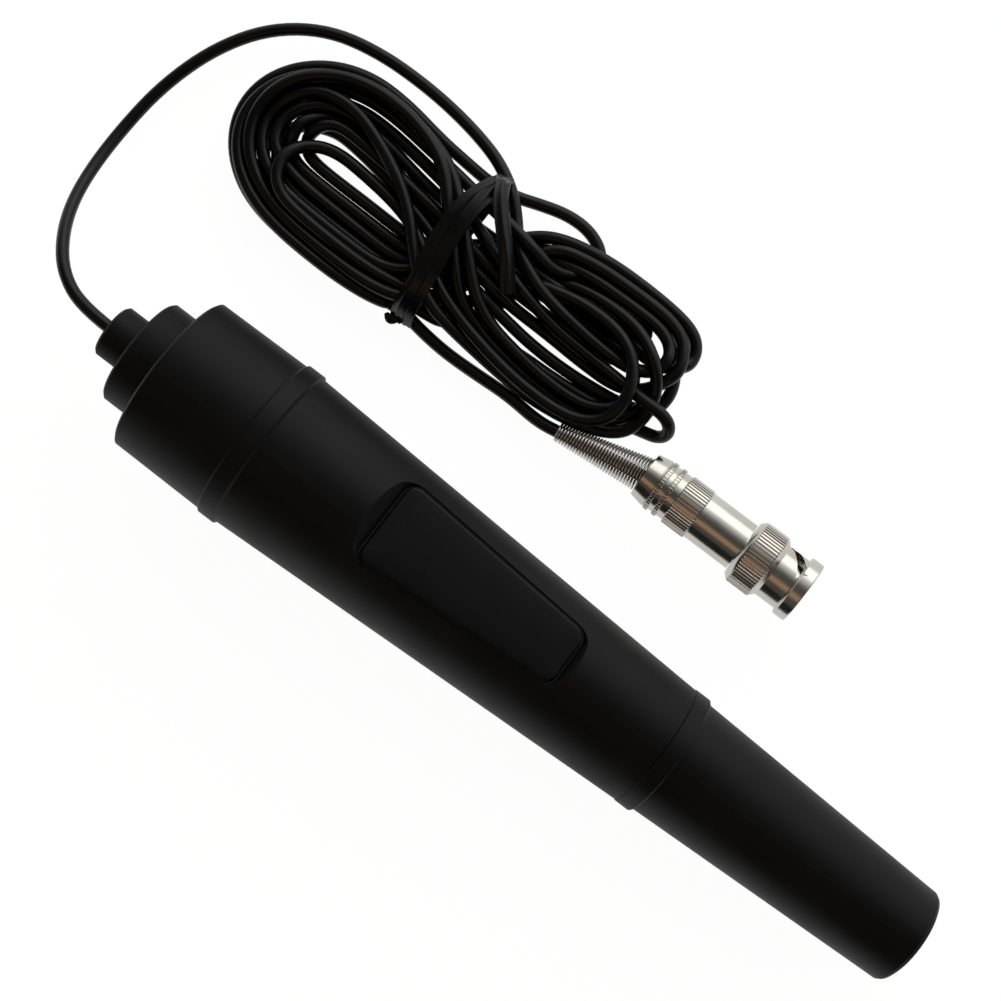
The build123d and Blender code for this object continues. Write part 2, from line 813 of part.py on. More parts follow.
# Spring: its axis swings about a point inside the nut's mouth
swing_point = plug_side.from_local_coords((spring_insert, 0, 0))
spring_side = Plane(plug_side.location * Pos(spring_insert, 0, 0) * Rotation(0, spring_lean, 0))
spring_axis = Axis(spring_side.origin, spring_side.x_dir)
ridge_pitch = spring_length / spring_ridges
ridge_outline = []
for ridge in range(spring_ridges):
    valley = -ridge * ridge_pitch
    crest = valley - ridge_pitch / 2
    for place, depth in ((valley, spring_wire / 2), (crest, 0)):
        wide = between(place, 0, spring_front_diameter / 2, -spring_length, spring_rear_diameter / 2)
        ridge_outline.append((place, wide - depth))
ridge_outline.append((-spring_length, spring_rear_diameter / 2 - spring_wire / 2))
spring_bore = cable_diameter / 2 + fit_gap / 2
with BuildPart() as spring_relief:
    with BuildSketch(spring_side):
        with BuildLine():
            Polyline(
                *ridge_outline,
                (-spring_length, spring_bore),
                (0, spring_front_diameter / 2 - 2 * spring_wire),
                close=True,
            )
        make_face()
    revolve(axis=spring_axis)

# Cable inside the spring, nut and clamp, with its bared core in the pin's cup
stub_rear = spring_side.from_local_coords((-spring_length, 0, 0))
stub_bend = swing_point
stub_front = plug_side.from_local_coords((clamp_start + clamp_length + fit_gap, 0, 0))
with BuildPart() as plug_cable:
    with BuildLine() as stub_path:
        FilletPolyline(stub_rear, stub_bend, stub_front, radius=cable_diameter * 5)
    with BuildSketch(Plane(origin=stub_rear, z_dir=spring_side.x_dir)):
        Circle(cable_diameter / 2)
    sweep(path=stub_path.line)
    with BuildSketch(across(plug_side, clamp_start + clamp_length)):
        Circle(core_radius)
    extrude(amount=cup_end - cup_length + 2 - clamp_start - clamp_length)

# Free cable: points of its route, with arcs as large as the runs on each side allow
cable_floor = cable_diameter / 2 + 0.02
lead_route = [
    side.origin,
    side.from_local_coords((-7.8, 0, 0)),
    Vector(-114.1, 3.0, 18.8),
    Vector(-119.8, 8.2, 15.2),
    Vector(-124.4, 14.8, 10.0),
    Vector(-127.3, 23.0, 5.0),
    Vector(-128.4, 33.8, 1.7),
    Vector(-127.3, 45.8, cable_floor),
    Vector(-123.4, 58.4, cable_floor),
    Vector(-116.6, 68.9, cable_floor),
    Vector(-106.6, 76.0, cable_floor),
    Vector(-95.0, 78.7, cable_floor),
    Vector(-82.6, 78.6, cable_floor),
    Vector(-72.1, 76.6, cable_floor),
    Vector(-63.1, 72.8, cable_floor + 1.2),
]
tail_route = [
    Vector(-57.0, 41.4, cable_floor + 1.0),
    Vector(-48.4, 38.3, cable_floor),
    Vector(-39.0, 37.9, cable_floor),
    Vector(-30.2, 37.2, 2.2),
    spring_side.from_local_coords((-spring_length - tail_straight, 0, 0)),
    stub_rear,
]


def corner_radii(route):
    radii = []
    for before, corner, after in zip(route, route[1:], route[2:]):
        first, second = corner - before, after - corner
        half_turn = first.get_angle(second) / 2
        shorter = min(first.length, second.length)
        radii.append(0.45 * shorter / tan(half_turn * 3.14159265 / 180))
    return radii


cord = {}
for cord_name, route in (("cable_lead", lead_route), ("cable_tail", tail_route)):
    radii = corner_radii(route)
    print(cord_name, "radii", [round(radius, 1) for radius in radii])
    with BuildPart() as tube:
        with BuildLine() as tube_path:
            FilletPolyline(*route, radius=radii)
        with BuildSketch(Plane(origin=route[0], z_dir=route[1] - route[0])):
            Circle(cable_diameter / 2)
        sweep(path=tube_path.line)
    section = 3.14159265 * cable_diameter**2 / 4
    print(cord_name, "length", round(tube_path.wire().length, 1))
    print(cord_name, "volume over section times length", tube.part.volume / section / tube_path.wire().length)
    cord[cord_name] = tube

# Hank: two lobes of wound cable drawn in under the tie
tie_bottom = tie_thickness + fit_gap
tie_height = hank_height - tie_bottom
waist = Plane(origin=(waist_x - tie_width / 2, waist_y, hank_height / 2 + tie_bottom / 2), x_dir=(0, 1, 0), z_dir=(1, 0, 0))
with BuildPart() as cable_hank:
    with BuildSketch():
        with Locations((left_lobe_x, left_lobe_y)):
            Ellipse(left_lobe_length / 2, left_lobe_width / 2)
        with Locations((right_lobe_x, right_lobe_y)):
            Ellipse(right_lobe_length / 2, right_lobe_width / 2)
        with BuildLine():
            Polyline(
                (left_lobe_x, left_lobe_y - left_lobe_width / 2),
                (waist_x, waist_y - waist_width / 2),
                (right_lobe_x, right_lobe_y - right_lobe_width / 2),
                (right_lobe_x, right_lobe_y + right_lobe_width / 2),
                (waist_x, waist_y + waist_width / 2),
                (left_lobe_x, left_lobe_y + left_lobe_width / 2),
                close=True,
            )
        make_face()
    extrude(amount=hank_height)
    chamfer(cable_hank.faces().sort_by(Axis.Z)[-1].edges(), hank_edge)
    with BuildSketch(waist.offset(-fit_gap)):
        Rectangle(2 * waist_width, 4 * tie_height)
        RectangleRounded(waist_width - 2 * fit_gap, tie_height - 2 * fit_gap, hank_edge, mode=Mode.SUBTRACT)
    extrude(amount=tie_width + 2 * fit_gap, mode=Mode.SUBTRACT)
    with BuildSketch(spring_side):
        with BuildLine():
            Polyline(
                (0, 0),
                (0, spring_front_diameter / 2 + slide_gap),
                (-2 * spring_length, slide_gap),
                (-2 * spring_length, 0),
                close=True,
            )
        make_face()
    revolve(axis=spring_axis, mode=Mode.SUBTRACT)

with BuildPart() as twist_tie:
    with BuildSketch(waist):
        RectangleRounded(waist_width + 2 * tie_thickness, tie_height + 2 * tie_thickness, hank_edge + tie_thickness)
        RectangleRounded(waist_width, tie_height, hank_edge, mode=Mode.SUBTRACT)
    extrude(amount=tie_width)

pieces = {
    "rear_cap": rear_cap,
    "cable_bush": cable_bush,
    "cable_end": cable_end,
    "cable_stop": cable_stop,
    "handle_body": handle_body,
    "grip_pad": grip_pad,
    "rear_ring": rear_ring,
    "cap_ring": cap_ring,
    "gland_nut": gland_nut,
    "electrode_seal": electrode_seal,
    "electrode_tube": electrode_tube,
    "electrode_head": electrode_head,
    "glass_stem": glass_stem,
    "guard_cage": guard_cage,
    "reference_junction": reference_junction,
    "measuring_wire": measuring_wire,
    "reference_wire": reference_wire,
    "core_lead": leads["core_lead"],
    "shield_lead": leads["shield_lead"],
    "shrink_sleeves": shrink_sleeves,
    "storage_cap": storage_cap,
    "wetting_sponge": wetting_sponge,
    "back_nut": back_nut,
    "plug_barrel": plug_barrel,
    "contact_sleeve": contact_sleeve,
    "front_insulator": front_insulator,
    "rear_bead": rear_bead,
    "centre_pin": centre_pin,
    "front_gasket": front_gasket,
    "coupling_ring": coupling_ring,
    "thrust_washer": thrust_washer,
    "wave_washer": wave_washer,
    "retaining_ring": retaining_ring,
    "braid_clamp": braid_clamp,
    "spring_relief": spring_relief,
    "plug_cable": plug_cable,
    "cable_lead": cord["cable_lead"],
    "cable_tail": cord["cable_tail"],
    "cable_hank": cable_hank,
    "twist_tie": twist_tie,
}
for name, piece in pieces.items():
    piece.part.label = name
    export_step(piece.part, f"parts/{name}.step")
print("tilt", round(degrees(tilt), 3), "plug rise", round(degrees(plug_rise), 3))
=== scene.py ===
import bpy
import math
import numpy as np
from mathutils import Matrix, Vector


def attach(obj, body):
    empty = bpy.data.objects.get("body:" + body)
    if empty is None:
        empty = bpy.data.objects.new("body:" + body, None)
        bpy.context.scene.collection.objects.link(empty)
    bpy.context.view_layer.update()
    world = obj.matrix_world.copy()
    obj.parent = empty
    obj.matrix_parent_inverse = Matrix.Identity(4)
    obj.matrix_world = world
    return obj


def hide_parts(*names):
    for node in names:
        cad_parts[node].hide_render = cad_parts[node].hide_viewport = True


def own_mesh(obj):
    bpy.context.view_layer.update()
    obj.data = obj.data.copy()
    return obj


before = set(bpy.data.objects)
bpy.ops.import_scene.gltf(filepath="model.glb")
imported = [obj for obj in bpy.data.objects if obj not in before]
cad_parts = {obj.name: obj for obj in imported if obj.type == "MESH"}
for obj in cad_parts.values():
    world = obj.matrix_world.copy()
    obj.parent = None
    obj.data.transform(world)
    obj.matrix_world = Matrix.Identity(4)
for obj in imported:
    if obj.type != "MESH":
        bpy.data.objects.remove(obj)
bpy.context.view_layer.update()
mm = 0.001


def clearSelection():
    if bpy.context.object and bpy.context.object.mode != "OBJECT":
        bpy.ops.object.mode_set(mode="OBJECT")
    bpy.ops.object.select_all(action="DESELECT")


def pickOut(piece):  # the only selected and active object
    clearSelection()
    piece.select_set(True)
    bpy.context.view_layer.objects.active = piece


def applyModifiers(piece):
    pickOut(piece)
    for modifier in list(piece.modifiers):
        bpy.ops.object.modifier_apply(modifier=modifier.name)


def putInPlace(piece, matrix):
    piece.data.transform(matrix)
    piece.data.update()


def finishPiece(piece, name, body, slotName, material, *nodes):
    piece.name = name
    piece.data.name = name
    piece.data.materials.clear()
    piece.data.materials.append(material)
    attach(piece, body)
    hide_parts(*nodes)


def smoothBy(piece, degrees):
    pickOut(piece)
    bpy.ops.object.shade_smooth_by_angle(angle=math.radians(degrees))


# the camera looks square onto the probe's sloping axis, which runs down to the right in the picture
view = {"place": (-2.212, 19.78, 351.797), "tilt": 2.6146, "turn": 37.37, "lens": 61.1, "film": 36,
        "clip": (0.01, 100)}


def makeCamera():
    tilt, turn = math.radians(view["tilt"]), math.radians(view["turn"])
    along = Vector((math.cos(tilt), 0, -math.sin(tilt)))
    out = Vector((math.sin(tilt), 0, math.cos(tilt)))
    side = Vector((0, 1, 0))
    right = along * math.cos(turn) + side * math.sin(turn)
    up = side * math.cos(turn) - along * math.sin(turn)
    bpy.ops.object.camera_add()
    camera = bpy.context.object
    camera.data.lens = view["lens"]
    camera.data.sensor_width = view["film"]
    camera.data.clip_start, camera.data.clip_end = view["clip"]
    turned = Matrix((right, up, out)).transposed().to_4x4()
    camera.matrix_world = Matrix.Translation(Vector(view["place"]) * mm) @ turned
    bpy.context.scene.camera = camera


# metres; the floor lies just under the part, because the cap dips as it is drawn off
studio = {"floorSize": 60, "floorLevel": -0.003, "floorColour": 0.9, "floorShade": 0.12, "floorGlow": 0.97,
          "floorMirrored": 0.62, "skyLight": 0.92, "skyDark": (0.066, 0.061, 0.056), "horizon": 0.9,
          "low": (0.09, 0.02), "window": (0.1, 0.9), "target": (0, 0.02, 0),
          "boxPower": 3.2, "boxSize": 1.3, "boxPlace": (-0.3, 1.5, 0.75),
          "stripPower": 0.17, "stripPlace": (0.0, -0.24, 0.50), "stripSize": (1.0, 0.2),
          "stripColour": (1.0, 0.55, 0.28)}


def makeNodes(owner):
    owner.use_nodes = True
    nodes, links = owner.node_tree.nodes, owner.node_tree.links
    nodes.clear()
    return nodes, links


def mathNode(nodes, operation, amount=None, clamp=False):
    node = nodes.new("ShaderNodeMath")
    node.operation = operation
    node.use_clamp = clamp
    if amount is not None:
        node.inputs[1].default_value = amount
    return node


def colourMix(nodes, first=None, second=None):  # its factor is input 0, its two colours are inputs 6 and 7
    node = nodes.new("ShaderNodeMix")
    node.data_type = "RGBA"
    for socket, colour in ((6, first), (7, second)):
        if colour is not None:
            node.inputs[socket].default_value = (*colour, 1)
    return node


def smoothRange(nodes, start, end):
    node = nodes.new("ShaderNodeMapRange")
    node.interpolation_type = "SMOOTHSTEP"
    node.inputs["From Min"].default_value = start
    node.inputs["From Max"].default_value = end
    return node


def makeFloor():  # glows where it is seen, with a faint shade on it, and is a plain pale floor to other rays
    clearSelection()
    bpy.ops.mesh.primitive_plane_add(size=studio["floorSize"], location=(0, 0, studio["floorLevel"]))
    floor = bpy.context.object
    floor.name = "floor"
    material = bpy.data.materials.new("floorWhite")
    nodes, links = makeNodes(material)
    path = nodes.new("ShaderNodeLightPath")
    mirrored = mathNode(nodes, "MULTIPLY", studio["floorMirrored"] / studio["floorGlow"])
    seen = mathNode(nodes, "ADD", clamp=True)
    shown = mathNode(nodes, "ADD", clamp=True)
    strength = mathNode(nodes, "MULTIPLY", studio["floorGlow"])
    shade = colourMix(nodes, (studio["floorColour"],) * 3, (studio["floorShade"],) * 3)
    diffuse = nodes.new("ShaderNodeBsdfDiffuse")
    glow = nodes.new("ShaderNodeEmission")
    both = nodes.new("ShaderNodeAddShader")
    out = nodes.new("ShaderNodeOutputMaterial")
    links.new(path.outputs["Is Camera Ray"], seen.inputs[0])
    links.new(path.outputs["Is Glossy Ray"], mirrored.inputs[0])
    links.new(mirrored.outputs[0], seen.inputs[1])
    links.new(seen.outputs[0], shown.inputs[0])
    links.new(path.outputs["Is Transmission Ray"], shown.inputs[1])
    links.new(shown.outputs[0], strength.inputs[0])
    links.new(shown.outputs[0], shade.inputs[0])
    links.new(shade.outputs[2], diffuse.inputs["Color"])
    links.new(strength.outputs[0], glow.inputs["Strength"])
    links.new(diffuse.outputs[0], both.inputs[0])
    links.new(glow.outputs[0], both.inputs[1])
    links.new(both.outputs[0], out.inputs["Surface"])
    floor.data.materials.append(material)


def makeWorld():  # pale round the horizon and on the window side, dim overhead, and white to the camera
    world = bpy.data.worlds.new("studioWorld")
    bpy.context.scene.world = world
    nodes, links = makeNodes(world)
    where = nodes.new("ShaderNodeTexCoord")
    parts = nodes.new("ShaderNodeSeparateXYZ")
    direct = nodes.new("ShaderNodeLightPath")
    window = smoothRange(nodes, *studio["window"])
    low = smoothRange(nodes, *studio["low"])
    sky = colourMix(nodes, studio["skyDark"], (studio["skyLight"],) * 3)
    ring = colourMix(nodes, second=(studio["horizon"],) * 3)
    shown = colourMix(nodes, second=(1, 1, 1))
    back = nodes.new("ShaderNodeBackground")
    out = nodes.new("ShaderNodeOutputWorld")
    links.new(where.outputs["Generated"], parts.inputs[0])
    links.new(parts.outputs["Y"], window.inputs["Value"])
    links.new(parts.outputs["Z"], low.inputs["Value"])
    links.new(window.outputs[0], sky.inputs[0])
    links.new(low.outputs[0], ring.inputs[0])
    links.new(sky.outputs[2], ring.inputs[6])
    links.new(direct.outputs["Is Camera Ray"], shown.inputs[0])
    links.new(ring.outputs[2], shown.inputs[6])
    links.new(shown.outputs[2], back.inputs["Color"])
    links.new(back.outputs[0], out.inputs["Surface"])


def makeLamp(name, place, size, power, colour):
    bpy.ops.object.light_add(type="AREA", location=place)
    lamp = bpy.context.object
    lamp.name = name
    lamp.data.shape = "RECTANGLE"
    lamp.data.size, lamp.data.size_y = size
    lamp.data.energy = power
    lamp.data.color = colour
    lamp.rotation_euler = (Vector(studio["target"]) - Vector(place)).to_track_quat("-Z", "Y").to_euler()


makeCamera()
makeFloor()
makeWorld()
makeLamp("softBox", studio["boxPlace"], (studio["boxSize"],) * 2, studio["boxPower"], (1, 1, 1))
makeLamp("warmStrip", studio["stripPlace"], studio["stripSize"], studio["stripPower"], studio["stripColour"])
bpy.context.scene.view_settings.view_transform = "Standard"
print("camera, floor and light are in")

plug = {"rim": (2.2, 41.9, 5.433), "rise": 4.03}  # the back nut's rim, and the degrees that the plug rises
noiseSpan = (0.3, 0.7)  # where most of a noise's values lie


def shaderStart(name, colour, rough, metallic=0.0, specular=0.5):
    material = bpy.data.materials.new(name)
    nodes, links = makeNodes(material)
    shader = nodes.new("ShaderNodeBsdfPrincipled")
    out = nodes.new("ShaderNodeOutputMaterial")
    links.new(shader.outputs[0], out.inputs["Surface"])
    shader.inputs["Base Color"].default_value = (*colour, 1)
    shader.inputs["Roughness"].default_value = rough
    shader.inputs["Metallic"].default_value = metallic
    shader.inputs["Specular IOR Level"].default_value = specular
    return material, nodes, links, shader


def noiseAt(nodes, links, scale, detail, stretch=(1, 1, 1), turn=(0, 0, 0)):
    where = nodes.new("ShaderNodeTexCoord")
    mapping = nodes.new("ShaderNodeMapping")
    mapping.inputs["Scale"].default_value = stretch
    mapping.inputs["Rotation"].default_value = turn
    noise = nodes.new("ShaderNodeTexNoise")
    noise.inputs["Scale"].default_value = scale
    noise.inputs["Detail"].default_value = detail
    links.new(where.outputs["Object"], mapping.inputs["Vector"])
    links.new(mapping.outputs[0], noise.inputs["Vector"])
    return noise


def ranged(nodes, links, source, low, high):
    spread = nodes.new("ShaderNodeMapRange")
    spread.inputs["From Min"].default_value, spread.inputs["From Max"].default_value = noiseSpan
    spread.inputs["To Min"].default_value = low
    spread.inputs["To Max"].default_value = high
    links.new(source.outputs[0], spread.inputs["Value"])
    return spread


def paint(nodes, links, shader, patches, dark, light, rough):  # colour and roughness that vary by patches
    tones = colourMix(nodes, dark, light)
    links.new(ranged(nodes, links, patches, 0, 1).outputs[0], tones.inputs[0])
    links.new(tones.outputs[2], shader.inputs["Base Color"])
    links.new(ranged(nodes, links, patches, *rough).outputs[0], shader.inputs["Roughness"])


def bumpFrom(nodes, links, shader, steps):  # steps: (noise, height in metres)
    last = None
    for source, height in steps:
        bump = nodes.new("ShaderNodeBump")
        bump.inputs["Distance"].default_value = height
        bump.inputs["Strength"].default_value = 1.0
        links.new(source.outputs[0], bump.inputs["Height"])
        if last:
            links.new(last.outputs[0], bump.inputs["Normal"])
        last = bump
    links.new(last.outputs[0], shader.inputs["Normal"])


def plasticFinish(name, dark, light, rough, specular, patch=60, grain=2600, grainHeight=0.000004, streak=None,
                  waves=None):
    material, nodes, links, shader = shaderStart(name, light, rough[0], 0, specular)
    patches = noiseAt(nodes, links, patch, 4)
    paint(nodes, links, shader, patches, dark, light, rough)
    steps = [(noiseAt(nodes, links, grain, 2), grainHeight)]
    if streak:
        steps.append((noiseAt(nodes, links, streak["scale"], 2, streak["stretch"]), streak["height"]))
    if waves:
        steps.append((noiseAt(nodes, links, waves["scale"], 1), waves["height"]))
    bumpFrom(nodes, links, shader, steps)
    return material


metalGrain = {"patch": 90, "scale": 900, "height": 0.0000015, "latheStretch": (1, 0.03, 0.03),
              "latheHeight": 0.000003}


def metalFinish(name, dark, light, rough, lathe=None):  # lathe: the scale of the rings that turning leaves
    material, nodes, links, shader = shaderStart(name, light, rough[0], 1.0)
    patches = noiseAt(nodes, links, metalGrain["patch"], 4)
    paint(nodes, links, shader, patches, dark, light, rough)
    steps = [(noiseAt(nodes, links, metalGrain["scale"], 3), metalGrain["height"])]
    if lathe:
        lean = (0, math.radians(plug["rise"]), 0)
        rings = noiseAt(nodes, links, lathe, 2, metalGrain["latheStretch"], lean)
        steps.append((rings, metalGrain["latheHeight"]))
    bumpFrom(nodes, links, shader, steps)
    return material


glass = {"colour": (0.93, 0.97, 0.96), "rough": (0.02, 0.07), "ior": 1.5, "smears": 80, "waves": 120,
         "waveHeight": 0.00002}


def glassFinish():
    material, nodes, links, shader = shaderStart("stemGlass", glass["colour"], glass["rough"][0])
    shader.inputs["Transmission Weight"].default_value = 1.0
    shader.inputs["IOR"].default_value = glass["ior"]
    smears = noiseAt(nodes, links, glass["smears"], 3)
    links.new(ranged(nodes, links, smears, *glass["rough"]).outputs[0], shader.inputs["Roughness"])
    bumpFrom(nodes, links, shader, [(noiseAt(nodes, links, glass["waves"], 1), glass["waveHeight"])])
    return material


plastics = {
    "bodyPlastic": {"dark": (0.0034, 0.0034, 0.0035), "light": (0.0056, 0.0056, 0.0057),
                    "rough": (0.46, 0.56), "specular": 0.22,
                    "streak": {"scale": 700, "stretch": (0.06, 1, 1), "height": 0.000006}},
    "capPlastic": {"dark": (0.0033, 0.0033, 0.0034), "light": (0.0054, 0.0054, 0.0055),
                   "rough": (0.44, 0.54), "specular": 0.22,
                   "streak": {"scale": 600, "stretch": (0.05, 1, 1), "height": 0.000005}},
    "padPlastic": {"dark": (0.0026, 0.0026, 0.0027), "light": (0.0038, 0.0038, 0.0039), "rough": (0.14, 0.22),
                   "specular": 0.2, "grainHeight": 0.000001, "waves": {"scale": 190, "height": 0.000025}},
    "cableSheath": {"dark": (0.0032, 0.0032, 0.0033), "light": (0.0050, 0.0050, 0.0051),
                    "rough": (0.26, 0.36), "specular": 0.32, "patch": 120, "grain": 1800,
                    "waves": {"scale": 300, "height": 0.00003}},
    "tiePlastic": {"dark": (0.0036, 0.0036, 0.0037), "light": (0.0060, 0.0060, 0.0061), "rough": (0.20, 0.32),
                   "specular": 0.36, "patch": 200, "waves": {"scale": 500, "height": 0.00005}},
    "sealRubber": {"dark": (0.010, 0.010, 0.010), "light": (0.018, 0.018, 0.018), "rough": (0.55, 0.7),
                   "specular": 0.4},
    "tubePlastic": {"dark": (0.55, 0.56, 0.57), "light": (0.62, 0.63, 0.64), "rough": (0.25, 0.35),
                    "specular": 0.5},
    "guardPlastic": {"dark": (0.012, 0.012, 0.013), "light": (0.020, 0.020, 0.021), "rough": (0.3, 0.4),
                     "specular": 0.5},
    "junctionWhite": {"dark": (0.74, 0.73, 0.70), "light": (0.86, 0.85, 0.83), "rough": (0.6, 0.8),
                      "specular": 0.3, "grain": 1500, "grainHeight": 0.00003},
    "insulationWhite": {"dark": (0.72, 0.71, 0.68), "light": (0.80, 0.79, 0.77), "rough": (0.35, 0.45),
                        "specular": 0.5},
    "spongeYellow": {"dark": (0.52, 0.40, 0.12), "light": (0.72, 0.60, 0.26), "rough": (0.8, 0.95),
                     "specular": 0.2, "patch": 700, "grain": 900, "grainHeight": 0.0003},
}
metals = {
    "silverWire": {"dark": (0.70, 0.69, 0.66), "light": (0.86, 0.85, 0.82), "rough": (0.2, 0.32)},
    "plugNickel": {"dark": (0.64, 0.61, 0.55), "light": (0.78, 0.76, 0.70), "rough": (0.15, 0.23),
                   "lathe": 5200},
    "springSteel": {"dark": (0.60, 0.56, 0.52), "light": (0.76, 0.73, 0.69), "rough": (0.2, 0.3)},
    "contactBrass": {"dark": (0.66, 0.46, 0.18), "light": (0.80, 0.60, 0.28), "rough": (0.18, 0.3),
                     "lathe": 4000},
}
finishes = {name: plasticFinish(name, **values) for name, values in plastics.items()}
finishes.update({name: metalFinish(name, **values) for name, values in metals.items()})
finishes["stemGlass"] = glassFinish()
nodeFinish = {
    "bodyPlastic": ("rear_cap", "cable_bush", "handle_body"),
    "capPlastic": ("storage_cap",),
    "padPlastic": ("grip_pad",),
    "cableSheath": ("cable_end", "cable_stop", "shrink_sleeves", "cable_lead", "cable_tail", "cable_hank",
                    "plug_cable"),
    "tiePlastic": ("twist_tie",),
    "sealRubber": ("rear_ring", "cap_ring", "electrode_seal", "front_gasket"),
    "tubePlastic": ("electrode_tube", "electrode_head"),
    "guardPlastic": ("gland_nut", "guard_cage"),
    "stemGlass": ("glass_stem",),
    "junctionWhite": ("reference_junction",),
    "insulationWhite": ("core_lead", "shield_lead", "front_insulator", "rear_bead"),
    "silverWire": ("measuring_wire", "reference_wire"),
    "spongeYellow": ("wetting_sponge",),
    "plugNickel": ("back_nut", "plug_barrel", "coupling_ring", "thrust_washer", "contact_sleeve"),
    "springSteel": ("spring_relief", "wave_washer", "retaining_ring"),
    "contactBrass": ("centre_pin", "braid_clamp"),
}
for finishName, names in nodeFinish.items():
    for name in names:
        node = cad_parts[name]
        for place in range(len(node.material_slots)):
            node.material_slots[place].link = "DATA"
            node.material_slots[place].material = finishes[finishName]
        if not node.material_slots:
            node.data.materials.append(finishes[finishName])
print("materials are on the CAD nodes")

# all in millimetres, but for the length; lead and tail repeat the route of the CAD cable
cable = {
    "diameter": 2.7, "rest": 1.37, "length": 2.65, "tieTop": 7.6, "tieLow": 2.0,
    "lead": [(-98.943, 0, 19.873), (-106.735, 0, 20.23), (-114.1, 3.0, 18.8), (-119.8, 8.2, 15.2),
             (-124.4, 14.8, 10.0), (-127.3, 23.0, 5.0), (-128.4, 33.8, 1.7), (-127.3, 45.8, 1.37),
             (-123.4, 58.4, 1.37), (-116.6, 68.9, 1.37), (-106.6, 76.0, 1.37), (-95.0, 78.7, 1.37),
             (-82.6, 79.0, 1.37), (-72.1, 78.0, 1.37), (-63.8, 76.2, 2.0)],
    "dive": [(-58.6, 74.2, 4.0), (-54.2, 71.4, 5.4), (-50.2, 68.0, 5.4), (-47.4, 64.0, 5.0),
             (-44.0, 60.8, 5.6), (-38.5, 58.6, 6.4)],
    "arc": [(-65.8, 71.2, 3.6), (-59.6, 70.6, 4.6), (-54.0, 71.6, 5.2), (-48.6, 73.7, 5.6),
            (-43.0, 75.7, 5.0), (-37.4, 75.9, 4.2), (-32.6, 74.2, 3.0), (-30.2, 70.4, 1.6),
            (-32.2, 66.0, 1.4), (-37.6, 62.4, 1.5)],
    "fold": [(-10.0, 48.4, 1.5), (-6.4, 48.6, 1.6), (-3.0, 48.9, 1.9), (-0.2, 49.6, 2.9), (1.0, 51.2, 5.2),
             (-0.2, 52.8, 7.5), (-3.0, 53.5, 8.5), (-6.6, 53.7, 8.6), (-11.5, 53.9, 8.3), (-16.5, 54.0, 7.9),
             (-23.0, 54.2, 7.6), (-31.3, 54.2, 7.6)],
    "tail": [(-62.0, 38.4, 1.9), (-57.2, 38.6, 1.8), (-53.0, 37.8, 1.5), (-46.0, 37.2, 1.37),
             (-38.0, 37.5, 1.37), (-30.2, 38.0, 2.0), (-22.105, 37.3, 3.6), (-17.2, 38.073, 4.066),
             (3.397, 41.9, 5.517), (15.367, 41.9, 6.361)],
}
# each turn: end x, end y, top y, bottom y, height
leftTurns = [
    (-111.9, 54.5, 74.0, 36.8, 1.6), (-109.6, 54.0, 71.0, 38.6, 3.6), (-106.4, 54.2, 66.2, 42.4, 6.6),
    (-102.6, 54.0, 64.4, 46.2, 4.2), (-108.6, 55.5, 72.6, 37.8, 5.6), (-99.8, 55.0, 63.0, 48.8, 2.2),
    (-96.4, 56.2, 61.4, 51.4, 4.2), (-97.4, 48.6, 57.0, 41.0, 6.8), (-104.6, 53.4, 67.4, 40.6, 2.2),
    (-101.2, 52.4, 61.6, 43.6, 1.6), (-110.8, 53.6, 73.0, 36.6, 4.4),
]
rightTurns = [
    (-7.6, 63.2, 69.0, 56.2, 6.4), (-4.4, 51.4, 66.0, 39.6, 8.2), (-3.8, 66.4, 72.6, 60.4, 2.4),
    (-5.6, 54.4, 64.6, 42.6, 2.2), (-4.6, 62.0, 70.8, 52.2, 3.4), (-14.4, 61.6, 68.2, 55.4, 1.6),
    (-9.0, 49.8, 62.8, 40.6, 8.6), "fold", (-3.6, 58.4, 69.6, 47.8, 1.6), (-9.4, 52.6, 61.4, 44.4, 4.4),
]
# strands seen on top beside the tie, from the lower right to the upper left
seenCrossings = {
    2: [(-47.5, 42.0, 4.6), (-53.5, 42.0, 6.4), (-58.8, 44.8, 8.0), (-63.2, 49.8, 8.4), (-67.9, 55.5, 7.8),
        (-74.8, 60.6, 7.0)],
    4: [(-46.6, 45.6, 7.0), (-50.4, 47.4, 8.6), (-53.6, 51.6, 9.2), (-58.4, 57.9, 9.4), (-62.8, 62.6, 9.2),
        (-67.0, 67.2, 8.4)],
    7: [(-48.6, 44.6, 5.6), (-54.4, 46.0, 7.4), (-59.4, 49.6, 8.0), (-64.8, 53.6, 7.6), (-71.0, 56.6, 7.2)],
}
# strands that bulge out below, right of the tie, before they cross under
bulges = {
    1: [(-55.0, 41.6, 2.0), (-49.4, 42.8, 2.0), (-44.9, 46.0, 2.0), (-43.2, 51.6, 2.0), (-42.8, 57.6, 2.0)],
    4: [(-54.6, 43.6, 4.4), (-49.6, 45.6, 4.4), (-46.0, 49.6, 3.6), (-44.8, 55.4, 3.0), (-44.0, 61.6, 2.4)],
}
# what the turns lie against: the spring and the plug's nut, as place and radius
propped = [((-17.2, 38.07, 4.07), 2.1), ((-11.0, 39.25, 4.5), 2.75), ((-5.0, 40.35, 4.92), 3.4),
           ((0.5, 41.3, 5.3), 4.1), ((2.2, 41.9, 5.43), 5.0), ((6.0, 41.9, 5.7), 5.6),
           ((16.0, 41.9, 6.4), 5.75)]
